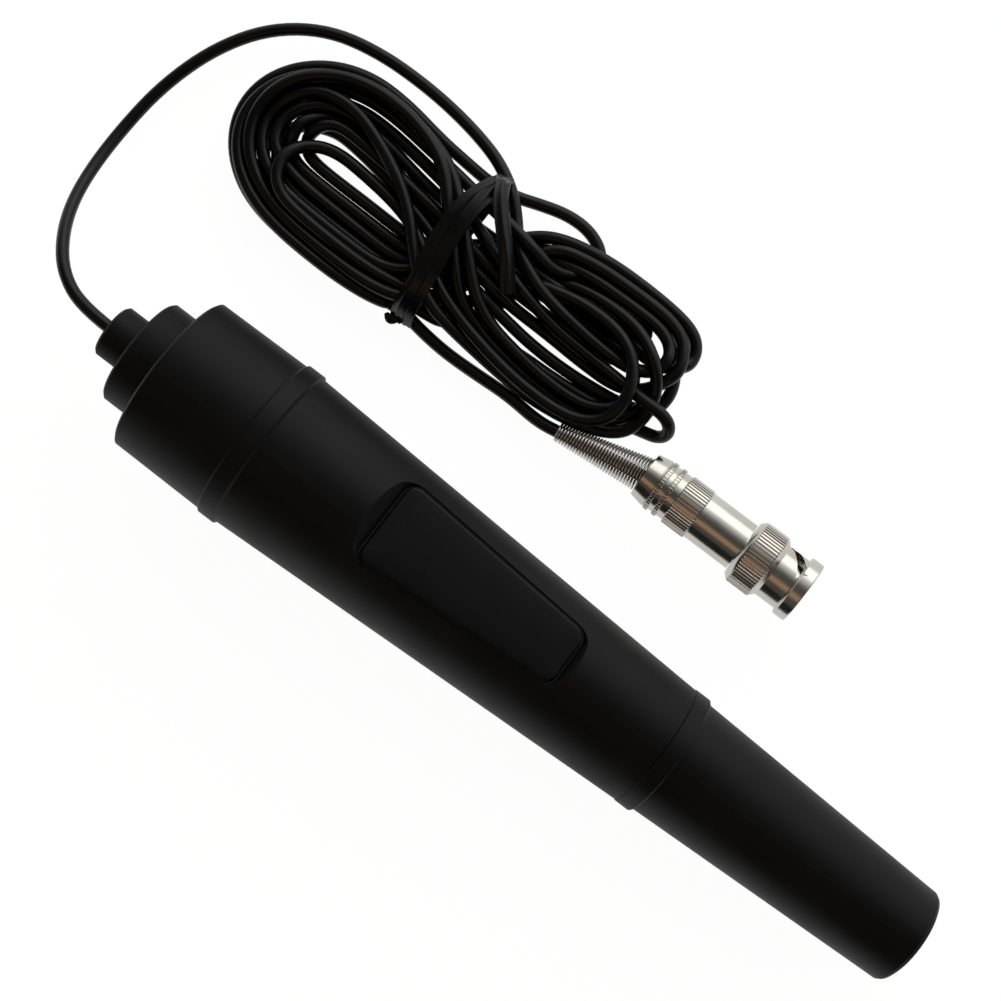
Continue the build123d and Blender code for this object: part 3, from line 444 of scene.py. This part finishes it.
# the round ends of the turns, then the bends of their runs near the tie: on the left as x, rise over the
# turn's bottom, share of its height and lift, and on the right from the tie outwards
lobe = {"leftReach": 1.25, "leftAngles": (78, 100, 122, 145, 168, 192, 215, 238, 260),
        "rightReach": 1.12, "rightAngles": (78, 50, 25, 0, -25, -50, -78),
        "wideTop": 67, "shoulder": (-72.6, 0.14, 1.2), "farLeft": (-75.0, 0.2, 0.6, 0.8),
        "nearLeft": (-66.5, 0.9, 0.5, 1), "narrowRise": -1.0, "wideBottom": 42, "widestBottom": 40,
        "under": (-60.5, 2.4, 2.0),
        "rightX": -42.0, "middleX": -49, "runOut": 7, "shortFrom": -26, "topDrops": (3.2, 1.2, 0.3),
        "bottomRises": (0.2, 0.9), "halfwayLift": 0.5, "highBottom": 50, "lastRises": (2.0, 0.6)}


def roundEnd(centre, middle, reach, half, endY, height, angles):
    points = []
    for degrees in angles:
        c, s = math.cos(math.radians(degrees)), math.sin(math.radians(degrees))
        points.append((centre + reach * c, middle + half * s + (endY - middle) * c * c, height))
    return points


def leftLobe(endX, endY, top, bottom, height):  # from its top round to its bottom and on to the tie
    half = (top - bottom) / 2
    reach = lobe["leftReach"] * half
    points = []
    if top > lobe["wideTop"]:
        x, drop, rise = lobe["shoulder"]
        points.append((x, top - drop * half, height + rise))
    points += roundEnd(endX + reach, (top + bottom) / 2, reach, half, endY, height, lobe["leftAngles"])
    x, rise, share, lift = lobe["farLeft"]
    points.append((x, bottom + rise, height * share + lift))
    x, rise, share, lift = lobe["nearLeft"]
    rise = rise if bottom < lobe["wideBottom"] else lobe["narrowRise"]
    points.append((x, bottom + rise, height * share + lift))
    if bottom < lobe["widestBottom"]:
        x, rise, level = lobe["under"]
        points.append((x, bottom + rise, level))
    return points


def rightLobe(endX, endY, top, bottom, height):  # from the tie along its top and back along its bottom
    half = (top - bottom) / 2
    reach = lobe["rightReach"] * half
    centre = endX - reach
    halfway = (centre + lobe["middleX"]) / 2
    short = centre > lobe["shortFrom"]  # a short lobe needs a point more on its runs
    tieDrop, halfwayDrop, endDrop = lobe["topDrops"]
    endRise, halfwayRise = lobe["bottomRises"]
    wideRise, highRise = lobe["lastRises"]
    points = [(lobe["rightX"], top - tieDrop, cable["tieLow"])]
    if short:
        points.append((halfway, top - halfwayDrop, (cable["tieLow"] + height) / 2))
    points.append((centre - lobe["runOut"], top - endDrop, height))
    points += roundEnd(centre, (top + bottom) / 2, reach, half, endY, height, lobe["rightAngles"])
    points.append((centre - lobe["runOut"], bottom + endRise, height))
    if short:
        points.append((halfway, bottom + halfwayRise, height + lobe["halfwayLift"]))
    lastRise = wideRise if bottom < lobe["highBottom"] else highRise
    points.append((lobe["rightX"], bottom + lastRise, (height + cable["tieTop"]) / 2))
    return points


def crossing(start, end, height, shares=(0.17, 0.38, 0.62, 0.83), ends=0.05):  # slanting run through the tie
    sway, straight = 0.65, 0.35
    points = []
    for share in shares:
        turn = min(1, max(0, (share - ends) / (1 - 2 * ends)))
        turn = sway * turn * turn * (3 - 2 * turn) + straight * share  # an S, partly straightened
        lift = 1 - (2 * share - 1) ** 2
        level = start[2] + (end[2] - start[2]) * share
        points.append((start[0] + (end[0] - start[0]) * share, start[1] + (end[1] - start[1]) * turn,
                       level + (height - level) * lift))
    return points


def turnPoints():
    low, high = cable["tieLow"], cable["tieTop"]
    points = cable["dive"] + rightLobe(*rightTurns[0])[::-1][2:]
    first = leftLobe(*leftTurns[0])[::-1]
    points += crossing(points[-1], first[0], low) + first + cable["arc"]
    for count in range(1, len(leftTurns)):
        left = leftLobe(*leftTurns[count])
        points += seenCrossings.get(count) or crossing(points[-1], left[0], high)
        points += left
        if count == len(leftTurns) - 1:
            break
        if rightTurns[count] == "fold":
            points += crossing(points[-1], cable["fold"][0], low, (0.12, 0.26, 0.42, 0.58, 0.74, 0.88), 0.0)
            points += cable["fold"]
        else:
            right = rightLobe(*rightTurns[count])
            points += bulges.get(count) or crossing(points[-1], right[0], low)
            points += right
    return points


def nearest(a, b, c, d):  # nearest points of the runs a-b and c-d, as shares, and what lies between them
    first, second, between = b - a, d - c, a - c
    aa, ab, bb = (first * first).sum(1), (first * second).sum(1), (second * second).sum(1)
    ac, bc = (first * between).sum(1), (second * between).sum(1)
    cross = aa * bb - ab * ab
    t = np.clip(np.where(cross > 1e-9, (ab * bc - bb * ac) / np.maximum(cross, 1e-9), 0), 0, 1)
    u = np.clip((ab * t + bc) / np.maximum(bb, 1e-12), 0, 1)
    t = np.clip((ab * u - ac) / np.maximum(aa, 1e-12), 0, 1)
    return t, u, between + t[:, None] * first - u[:, None] * second


# distances in millimetres; blend: how much of a point's place is kept, eased and drawn back home
settling = {"rounds": 120, "gap": 2.72, "skip": 3, "search": 13, "soften": 0.125, "tipPoints": (2, 7),
            "lift": 0.25, "upright": 1.5, "crossUp": 2.0, "proppedGap": 1.38, "proppedLift": 0.4, "pace": 0.9,
            "leastShare": 0.6, "sink": 0.04, "smooth": 0.25, "heightEase": 0.25, "blend": (0.93, 0.04, 0.03),
            "top": 9.8}


def eased(place, share):  # each point drawn towards its two neighbours
    smooth = place.copy()
    smooth[1:-1] = place[:-2] * share + place[1:-1] * (1 - 2 * share) + place[2:] * share
    return smooth


def pushApart(soft):  # how far each point is pushed by other strands, and by how many
    gap, count = settling["gap"], len(soft)
    i, j = np.triu_indices(count - 1, settling["skip"])
    middle = (soft[:-1] + soft[1:]) / 2
    near = np.linalg.norm(middle[i] - middle[j], axis=1) < settling["search"]
    i, j = i[near], j[near]
    t, u, apart = nearest(soft[i], soft[i + 1], soft[j], soft[j + 1])
    distance = np.linalg.norm(apart, axis=1)
    hit = distance < gap
    i, j, t, u, apart, distance = i[hit], j[hit], t[hit], u[hit], apart[hit], distance[hit]
    first, second = soft[i + 1] - soft[i], soft[j + 1] - soft[j]
    lengths = np.linalg.norm(first, axis=1) * np.linalg.norm(second, axis=1) + 1e-9
    alike = np.abs((first * second).sum(1)) / lengths
    apart[:, 2] += np.where(apart[:, 2] >= 0, settling["lift"], -settling["lift"])
    apart[:, 2] *= settling["upright"] + settling["crossUp"] * (1 - alike)
    push = (gap - distance)[:, None] * apart / np.maximum(np.linalg.norm(apart, axis=1), 1e-6)[:, None] / 2
    move, share = np.zeros_like(soft), np.zeros(count)
    for which, weight, sign in ((i, 1 - t, 1), (i + 1, t, 1), (j, 1 - u, -1), (j + 1, u, -1)):
        np.add.at(move, which, sign * weight[:, None] * push)
        np.add.at(share, which, weight)
    return move, share


def pushOff(soft, free, move, share):  # the same from the spring and the nut
    for (low, lowRadius), (high, highRadius) in zip(propped[:-1], propped[1:]):
        low, run = np.array(low), np.array(high) - np.array(low)
        part = np.clip((soft - low) @ run / (run @ run), 0, 1)
        away = soft - (low + part[:, None] * run)
        far = np.linalg.norm(away, axis=1)
        room = lowRadius + (highRadius - lowRadius) * part + settling["proppedGap"]
        touch = free & (far < room)
        away[:, 2] += settling["proppedLift"]
        away /= np.linalg.norm(away, axis=1)[:, None]
        move[touch] += ((room - far)[:, None] * away)[touch]
        share[touch] += 1


def settleTurns(points, head, tail):  # strands push each other aside and up, and sink
    place = np.array(points, float)
    home = place.copy()
    free = np.ones(len(place), bool)
    free[:head] = False
    free[len(place) - tail:] = False
    tipStart, tipEnd = settling["tipPoints"]
    free[[points.index(spot) for spot in cable["fold"][tipStart:tipEnd]]] = False  # the fold's tip stands
    ease = settling["heightEase"]
    kept, drawn, back = settling["blend"]
    for lap in range(settling["rounds"]):
        soft = eased(place, settling["soften"])
        move, share = pushApart(soft)
        pushOff(soft, free, move, share)
        place[free] += settling["pace"] * (move / np.maximum(share, settling["leastShare"])[:, None])[free]
        smooth = eased(place, settling["smooth"])
        place[free, 2] = place[free, 2] * (1 - ease) + smooth[free, 2] * ease - settling["sink"]
        place[free, :2] = place[free, :2] * kept + smooth[free, :2] * drawn + home[free, :2] * back
        place[free, 2] = np.clip(place[free, 2], cable["rest"], settling["top"])
    return [tuple(point) for point in place]


def makeSpline(name, points, depth, resolution=6, bevelResolution=4):
    curve = bpy.data.curves.new(name, "CURVE")
    curve.dimensions = "3D"
    spline = curve.splines.new("NURBS")
    spline.points.add(len(points) - 1)
    for point, place in zip(spline.points, points):
        point.co = (*[value * mm for value in place], 1)
    spline.order_u = 3
    spline.use_endpoint_u = True
    curve.resolution_u = resolution
    curve.bevel_depth = depth * mm
    curve.bevel_resolution = bevelResolution
    curve.use_fill_caps = True
    piece = bpy.data.objects.new(name, curve)
    bpy.context.collection.objects.link(piece)
    return piece


cableRoute = cable["lead"] + turnPoints() + cable["tail"]
cablePoints = settleTurns(cableRoute, len(cable["lead"]), len(cable["tail"]))
cableCord = makeSpline("cable_cord", cablePoints, cable["diameter"] / 2)
finishPiece(cableCord, "cable_cord", "probe", "cable_black", finishes["cableSheath"],
            "cable_lead", "cable_hank", "cable_tail", "plug_cable")
print("cable is laid", len(cablePoints), "points")

# the plug's own frame: x runs forward along its axis from the back nut's rim
plugFrame = (Matrix.Translation(Vector(plug["rim"]) * mm)
             @ Matrix.Rotation(math.radians(-plug["rise"]), 4, "Y"))
sidesPerTooth = 4
weld = 0.0000005
onBand = 0.06  # how near a point is to its band's radius, in mm


def turnedPiece(profile, sides):  # a circle extruded round a closed profile of (along, radius) in mm
    clearSelection()
    (x0, r0) = profile[0]
    bpy.ops.mesh.primitive_circle_add(vertices=sides, radius=r0 * mm, location=(x0 * mm, 0, 0),
                                      rotation=(0, math.pi / 2, 0))
    piece = bpy.context.object
    bpy.ops.object.transform_apply(location=True, rotation=True, scale=True)
    bpy.ops.object.mode_set(mode="EDIT")
    bpy.ops.mesh.select_all(action="SELECT")
    for (x1, r1) in profile[1:] + profile[:1]:
        bpy.ops.mesh.extrude_edges_move(TRANSFORM_OT_translate={"value": ((x1 - x0) * mm, 0, 0)})
        bpy.ops.transform.resize(value=(1, r1 / r0, r1 / r0), center_override=(x1 * mm, 0, 0))
        x0, r0 = x1, r1
    bpy.ops.mesh.select_all(action="SELECT")
    bpy.ops.mesh.remove_doubles(threshold=weld)
    bpy.ops.mesh.normals_make_consistent(inside=False)
    bpy.ops.object.mode_set(mode="OBJECT")
    return piece


def pressGrooves(piece, band, sides, depth):  # V grooves along a band, one for each tooth
    start, end, radius = band
    for point in piece.data.vertices:
        c = point.co / mm
        around = math.hypot(c.y, c.z)
        number = round(math.atan2(c.z, c.y) / math.tau * sides) % sidesPerTooth
        point.select = start < c.x < end and abs(around - radius) < onBand and number == 0
    for face in piece.data.polygons:
        face.select = False
    for edge in piece.data.edges:
        edge.select = all(piece.data.vertices[index].select for index in edge.vertices)
    bpy.ops.object.mode_set(mode="EDIT")
    bpy.ops.mesh.select_mode(type="VERT")
    scale = (radius - depth) / radius
    bpy.ops.transform.resize(value=(1, scale, scale), center_override=(0, 0, 0))
    bpy.ops.object.mode_set(mode="OBJECT")


backNut = {"teeth": 50, "groove": 0.3, "smooth": 22,
           "profile": [(0, 4.6), (0, 4.9), (0.1, 4.97), (0.5, 5.04), (3.0, 5.52), (3.2, 5.45), (3.35, 5.3),
                       (3.5, 5.6), (3.6, 5.7), (4.4, 5.7), (4.5, 5.6), (4.6, 5.28), (5.5, 5.28), (5.6, 5.6),
                       (5.7, 5.7), (6.5, 5.7), (6.6, 5.6), (6.7, 5.28), (8.1, 5.28), (8.25, 5.6), (8.4, 5.75),
                       (13.45, 5.75), (13.7, 5.6), (13.8, 5.4),
                       (13.8, 4.65), (8.5, 4.65), (8.5, 2.1), (2.6, 2.1), (2.6, 4.5)],
           "bands": ((3.45, 4.55, 5.7), (5.55, 6.65, 5.7), (8.3, 13.6, 5.75))}


def makeBackNut():
    sides = backNut["teeth"] * sidesPerTooth
    piece = turnedPiece(backNut["profile"], sides)
    for band in backNut["bands"]:
        pressGrooves(piece, band, sides, backNut["groove"])
    putInPlace(piece, plugFrame)
    smoothBy(piece, backNut["smooth"])
    finishPiece(piece, "knurled_back_nut", "probe", "plug_nickel", finishes["plugNickel"], "back_nut")
    return piece


# slot: its middle line as (along, sideways); slotMouth: how much wider the round hole at its end is
couplingRing = {"teeth": 60, "groove": 0.32, "smooth": 22,
                "profile": [(24.6, 4.0), (24.6, 6.0), (24.72, 6.2), (25.5, 7.0), (25.75, 7.12), (25.95, 7.25),
                            (30.8, 7.25), (31.05, 7.1), (31.2, 6.95), (31.95, 6.12), (32.15, 5.95),
                            (36.7, 5.95), (36.85, 6.05), (36.95, 6.6), (37.2, 6.85), (39.5, 6.85),
                            (39.72, 6.75), (39.8, 6.6), (39.8, 5.2), (39.6, 4.95), (26.3, 4.95), (26.3, 4.0)],
                "band": (25.85, 30.9, 7.25),
                "slot": [(33.4, 3.0), (33.9, 2.5), (34.7, 1.2), (35.6, -0.2), (36.5, -1.7), (37.2, -3.2)],
                "turns": (-48, 132), "slotWidth": 1.9, "slotDepth": (3.0, 6.3), "slotMouth": 1.12,
                "mouthSides": 28, "slotSteps": 8}


def cutWith(piece, cutter):
    modifier = piece.modifiers.new("cut", "BOOLEAN")
    modifier.operation = "DIFFERENCE"
    modifier.solver = "EXACT"
    modifier.object = cutter
    applyModifiers(piece)
    bpy.data.objects.remove(cutter, do_unlink=True)


def slotHole(low, high):
    (x, y) = couplingRing["slot"][0]
    bpy.ops.mesh.primitive_cylinder_add(vertices=couplingRing["mouthSides"],
                                        radius=couplingRing["slotWidth"] / 2 * mm * couplingRing["slotMouth"],
                                        depth=(high - low) * mm,
                                        location=(x * mm, y * mm, (low + high) / 2 * mm))
    hole = bpy.context.object
    bpy.ops.object.transform_apply(location=True, rotation=True, scale=True)
    return hole


def slotRibbon(low, high):
    route = [(x, y, (low + high) / 2) for x, y in couplingRing["slot"]]
    ribbon = makeSpline("slotRibbon", route, 0, couplingRing["slotSteps"])
    ribbon.data.extrude = (high - low) / 2 * mm
    ribbon.data.use_fill_caps = False
    ribbon.data.twist_mode = "Z_UP"
    pickOut(ribbon)
    bpy.ops.object.convert(target="MESH")
    ribbon = bpy.context.object
    wall = ribbon.modifiers.new("wall", "SOLIDIFY")
    wall.thickness = couplingRing["slotWidth"] * mm
    wall.offset = 0
    applyModifiers(ribbon)
    return ribbon


def makeCouplingRing():
    sides = couplingRing["teeth"] * sidesPerTooth
    piece = turnedPiece(couplingRing["profile"], sides)
    pressGrooves(piece, couplingRing["band"], sides, couplingRing["groove"])
    for turn in couplingRing["turns"]:
        spin = Matrix.Rotation(math.radians(turn), 4, "X")
        for makeCutter in (slotHole, slotRibbon):
            cutter = makeCutter(*couplingRing["slotDepth"])
            cutter.data.transform(spin)
            cutWith(piece, cutter)
    putInPlace(piece, plugFrame)
    smoothBy(piece, couplingRing["smooth"])
    finishPiece(piece, "knurled_coupling_ring", "coupling", "plug_nickel", finishes["plugNickel"],
                "coupling_ring")
    return piece


# front and rear are the coil's radii; endShare of the wire at each end is wound close, at flatPitch
spring = {"turns": 33, "wire": 0.5, "length": 21.0, "front": 3.92, "rear": 1.75, "perTurn": 12, "lean": 10.5,
          "tuck": 1.2, "endShare": 0.03, "openShare": 0.94, "flatPitch": 0.25, "openPitch": 0.75,
          "fit": 0.985}


def makeSpring():
    leant = (plugFrame @ Matrix.Translation((spring["tuck"] * mm, 0, 0))
             @ Matrix.Rotation(math.radians(spring["lean"]), 4, "Z"))
    steps = spring["turns"] * spring["perTurn"]
    points = []
    for step in range(steps + 1):
        share = step / steps
        opened = min(1.0, max(0.0, (share - spring["endShare"]) / spring["openShare"]))
        x = -spring["length"] * (spring["flatPitch"] * share + spring["openPitch"] * opened)
        radius = spring["front"] + (spring["rear"] - spring["front"]) * share
        radius *= 1 / math.cos(math.pi / spring["perTurn"]) * spring["fit"]
        angle = share * spring["turns"] * math.tau
        place = leant @ Vector((x * mm, radius * math.cos(angle) * mm, radius * math.sin(angle) * mm))
        points.append(tuple(place / mm))
    piece = makeSpline("wound_spring", points, spring["wire"] / 2, 3, 2)
    finishPiece(piece, "wound_spring", "probe", "spring_steel", finishes["springSteel"], "spring_relief")
    return piece


nutPiece = makeBackNut()
print("back nut is made")
ringPiece = makeCouplingRing()
print("coupling ring is made")
springPiece = makeSpring()
print("spring is wound")

# section: across and out, as shares of the width and thickness; middle: what the bands go round
tie = {"width": 3.2, "thickness": 0.45, "steps": 70, "middle": (55.0, 3.0), "topFrom": 3.0, "topLean": 0.35,
       "section": [(-0.5, 0), (-0.46, 0.5), (-0.16, 0.5), (-0.1, 1.0), (0.1, 1.0), (0.16, 0.5), (0.46, 0.5),
                   (0.5, 0), (0.46, -0.5), (-0.46, -0.5)],
       "bands": [
           [(-58.2, 36.6, 2.2), (-58.4, 37.4, 5.2), (-58.4, 40.5, 8.6), (-58.7, 45.5, 10.4),
            (-60.0, 52.0, 11.0), (-60.6, 58.6, 11.2), (-60.2, 64.4, 10.8), (-58.7, 69.0, 9.6),
            (-57.4, 71.9, 8.0), (-56.7, 73.2, 5.0)],
           [(-57.6, 72.4, 6.8), (-56.8, 72.0, 9.4), (-55.7, 69.6, 11.0), (-53.4, 66.6, 11.6),
            (-50.6, 63.6, 11.8), (-47.4, 60.4, 11.4), (-44.7, 57.2, 10.6), (-42.0, 53.9, 9.4)],
           [(-57.8, 72.8, 5.0), (-57.8, 72.4, 2.6), (-57.9, 70.0, 0.7), (-58.0, 64.0, 0.55),
            (-58.1, 56.0, 0.55), (-58.2, 46.0, 0.55), (-58.3, 39.0, 0.7), (-58.3, 36.4, 2.0),
            (-58.3, 36.2, 3.8)],
           [(-56.2, 36.8, 2.6), (-56.4, 38.2, 6.2), (-56.6, 42.6, 9.4), (-56.8, 48.4, 10.9),
            (-57.6, 55.0, 11.6), (-57.9, 61.0, 11.7), (-57.7, 66.6, 10.8), (-57.4, 71.2, 8.6)],
       ],
       "twist": [(-58.0, 37.4, 2.6), (-58.4, 36.2, 2.8), (-59.2, 35.6, 2.4), (-60.0, 36.3, 1.9)],
       "twistWidth": 0.7, "twistThickness": 2.2, "twistSteps": 16, "smooth": 50}


def routeOf(points, count):  # evenly read points of a smooth line through the route
    line = makeSpline("routeLine", points, 0, 10)
    mesh = bpy.data.meshes.new_from_object(line)
    spots = np.array([tuple(v.co) for v in mesh.vertices])
    bpy.data.objects.remove(line, do_unlink=True)
    bpy.data.meshes.remove(mesh)
    along = np.concatenate([[0], np.cumsum(np.linalg.norm(np.diff(spots, axis=0), axis=1))])
    at = np.linspace(0, along[-1], count)
    return [Vector([float(np.interp(a, along, spots[:, k])) for k in range(3)]) for a in at]


def makeBand(points, width, thickness, count):  # the section swept along a route, its rib turned outwards
    spots = routeOf(points, count)
    sides = len(tie["section"])
    middle = Vector((0, tie["middle"][0] * mm, tie["middle"][1] * mm))
    verts, faces = [], []
    for index, spot in enumerate(spots):
        before, after = spots[max(index - 1, 0)], spots[min(index + 1, count - 1)]
        along = (after - before).normalized()
        out = spot - middle
        out.x = 0
        out.y *= tie["topLean"] if out.z > tie["topFrom"] * mm else 1
        out = (out - along * out.dot(along)).normalized()
        across = along.cross(out).normalized()
        for a, b in tie["section"]:
            verts.append(spot + across * a * width * mm + out * b * thickness * mm)
    for ring in range(count - 1):
        for k in range(sides):
            a, b = ring * sides + k, ring * sides + (k + 1) % sides
            faces.append((a, b, b + sides, a + sides))
    faces.append(tuple(range(sides))[::-1])
    faces.append(tuple(range((count - 1) * sides, count * sides)))
    band = bpy.data.meshes.new("band")
    band.from_pydata([tuple(v) for v in verts], [], faces)
    piece = bpy.data.objects.new("band", band)
    bpy.context.collection.objects.link(piece)
    return piece


def makeTie():
    parts = [makeBand(points, tie["width"], tie["thickness"], tie["steps"]) for points in tie["bands"]]
    parts.append(makeBand(tie["twist"], tie["width"] * tie["twistWidth"],
                          tie["thickness"] * tie["twistThickness"], tie["twistSteps"]))
    clearSelection()
    for part in parts:
        part.select_set(True)
    bpy.context.view_layer.objects.active = parts[0]
    bpy.ops.object.join()
    piece = bpy.context.object
    bpy.ops.object.mode_set(mode="EDIT")
    bpy.ops.mesh.select_all(action="SELECT")
    bpy.ops.mesh.normals_make_consistent(inside=False)
    bpy.ops.object.mode_set(mode="OBJECT")
    smoothBy(piece, tie["smooth"])
    finishPiece(piece, "twisted_tie", "probe", "tie_plastic", finishes["tiePlastic"], "twist_tie")
    return piece


tiePiece = makeTie()
print("tie is on")

# heights are over the probe's axis; rings: how each step of the crown shrinks both ways, and rises
pad = {"rear": (-98.942, 0, 19.873), "tilt": 2.626, "roll": 14.8, "start": 65.7, "length": 44.9,
       "rearWidth": 19.7, "frontWidth": 13.4, "rearHeight": 12.8, "frontHeight": 12.5, "corner": 3.0,
       "cornerSteps": 10, "gap": 0.35, "thickness": 0.8, "edge": 0.6, "edgeSteps": 6, "smooth": 50,
       "rings": ((0.95, 0.84, 0.07), (0.94, 0.76, 0.06), (0.9, 0.6, 0.04))}


def crownPad(piece):
    top = max(piece.data.polygons, key=lambda face: face.center.z + face.area)
    for face in piece.data.polygons:
        face.select = face == top
    for edge in piece.data.edges:
        edge.select = False
    for point in piece.data.vertices:
        point.select = point.index in top.vertices
    bpy.ops.object.mode_set(mode="EDIT")
    bpy.ops.mesh.select_mode(type="FACE")
    for lengthways, across, rise in pad["rings"]:
        bpy.ops.mesh.extrude_region_move(TRANSFORM_OT_translate={"value": (0, 0, rise * mm)})
        bpy.ops.transform.resize(value=(lengthways, across, 1), center_override=(0, 0, 0))
    bpy.ops.mesh.select_all(action="SELECT")
    bpy.ops.mesh.normals_make_consistent(inside=False)
    bpy.ops.object.mode_set(mode="OBJECT")


def makePad():  # a plane as wide as the pocket, its corners rounded, raised, its rim bevelled, then crowned
    clearSelection()
    bpy.ops.mesh.primitive_plane_add(size=1)
    piece = bpy.context.object
    long, slope = pad["length"] / 2, (pad["rearWidth"] - pad["frontWidth"]) / 2 / pad["length"]
    side = pad["gap"] * math.hypot(1, slope)
    for point in piece.data.vertices:
        x = math.copysign(long - pad["gap"], point.co.x)
        half = (pad["rearWidth"] + pad["frontWidth"]) / 4 - slope * x - side
        point.co = (x * mm, math.copysign(half, point.co.y) * mm, 0)
    bpy.ops.object.mode_set(mode="EDIT")
    bpy.ops.mesh.select_all(action="SELECT")
    bpy.ops.mesh.bevel(offset=(pad["corner"] - pad["gap"]) * mm, offset_type="OFFSET",
                       segments=pad["cornerSteps"], affect="VERTICES")
    bpy.ops.mesh.extrude_region_move(TRANSFORM_OT_translate={"value": (0, 0, pad["thickness"] * mm)})
    bpy.ops.mesh.bevel(offset=pad["edge"] * mm, offset_type="OFFSET", segments=pad["edgeSteps"],
                       affect="EDGES", profile=0.5)
    bpy.ops.object.mode_set(mode="OBJECT")
    crownPad(piece)
    height = (pad["rearHeight"] + pad["frontHeight"]) / 2
    pitch = math.atan2(pad["rearHeight"] - pad["frontHeight"], pad["length"])
    place = Matrix.Translation(Vector(pad["rear"]) * mm)
    place @= Matrix.Rotation(math.radians(pad["tilt"]), 4, "Y")
    place @= Matrix.Rotation(-math.radians(pad["roll"]), 4, "X")
    place @= Matrix.Translation(Vector((pad["start"] + long, 0, height)) * mm)
    putInPlace(piece, place @ Matrix.Rotation(pitch, 4, "Y"))
    smoothBy(piece, pad["smooth"])
    finishPiece(piece, "glossy_grip_pad", "probe", "pad_gloss", finishes["padPlastic"], "grip_pad")


makePad()
print("pad is in its pocket")


def makeWaveWasher():  # copied from its node; the real washer is pressed flatter when the coupling slides
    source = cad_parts["wave_washer"]
    piece = bpy.data.objects.new("sprung_wave_washer", source.data.copy())
    bpy.context.collection.objects.link(piece)
    finishPiece(piece, "sprung_wave_washer", "probe", "spring_steel", finishes["springSteel"], "wave_washer")
    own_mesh(piece)
    return piece


washerPiece = makeWaveWasher()
print("wave washer is in")
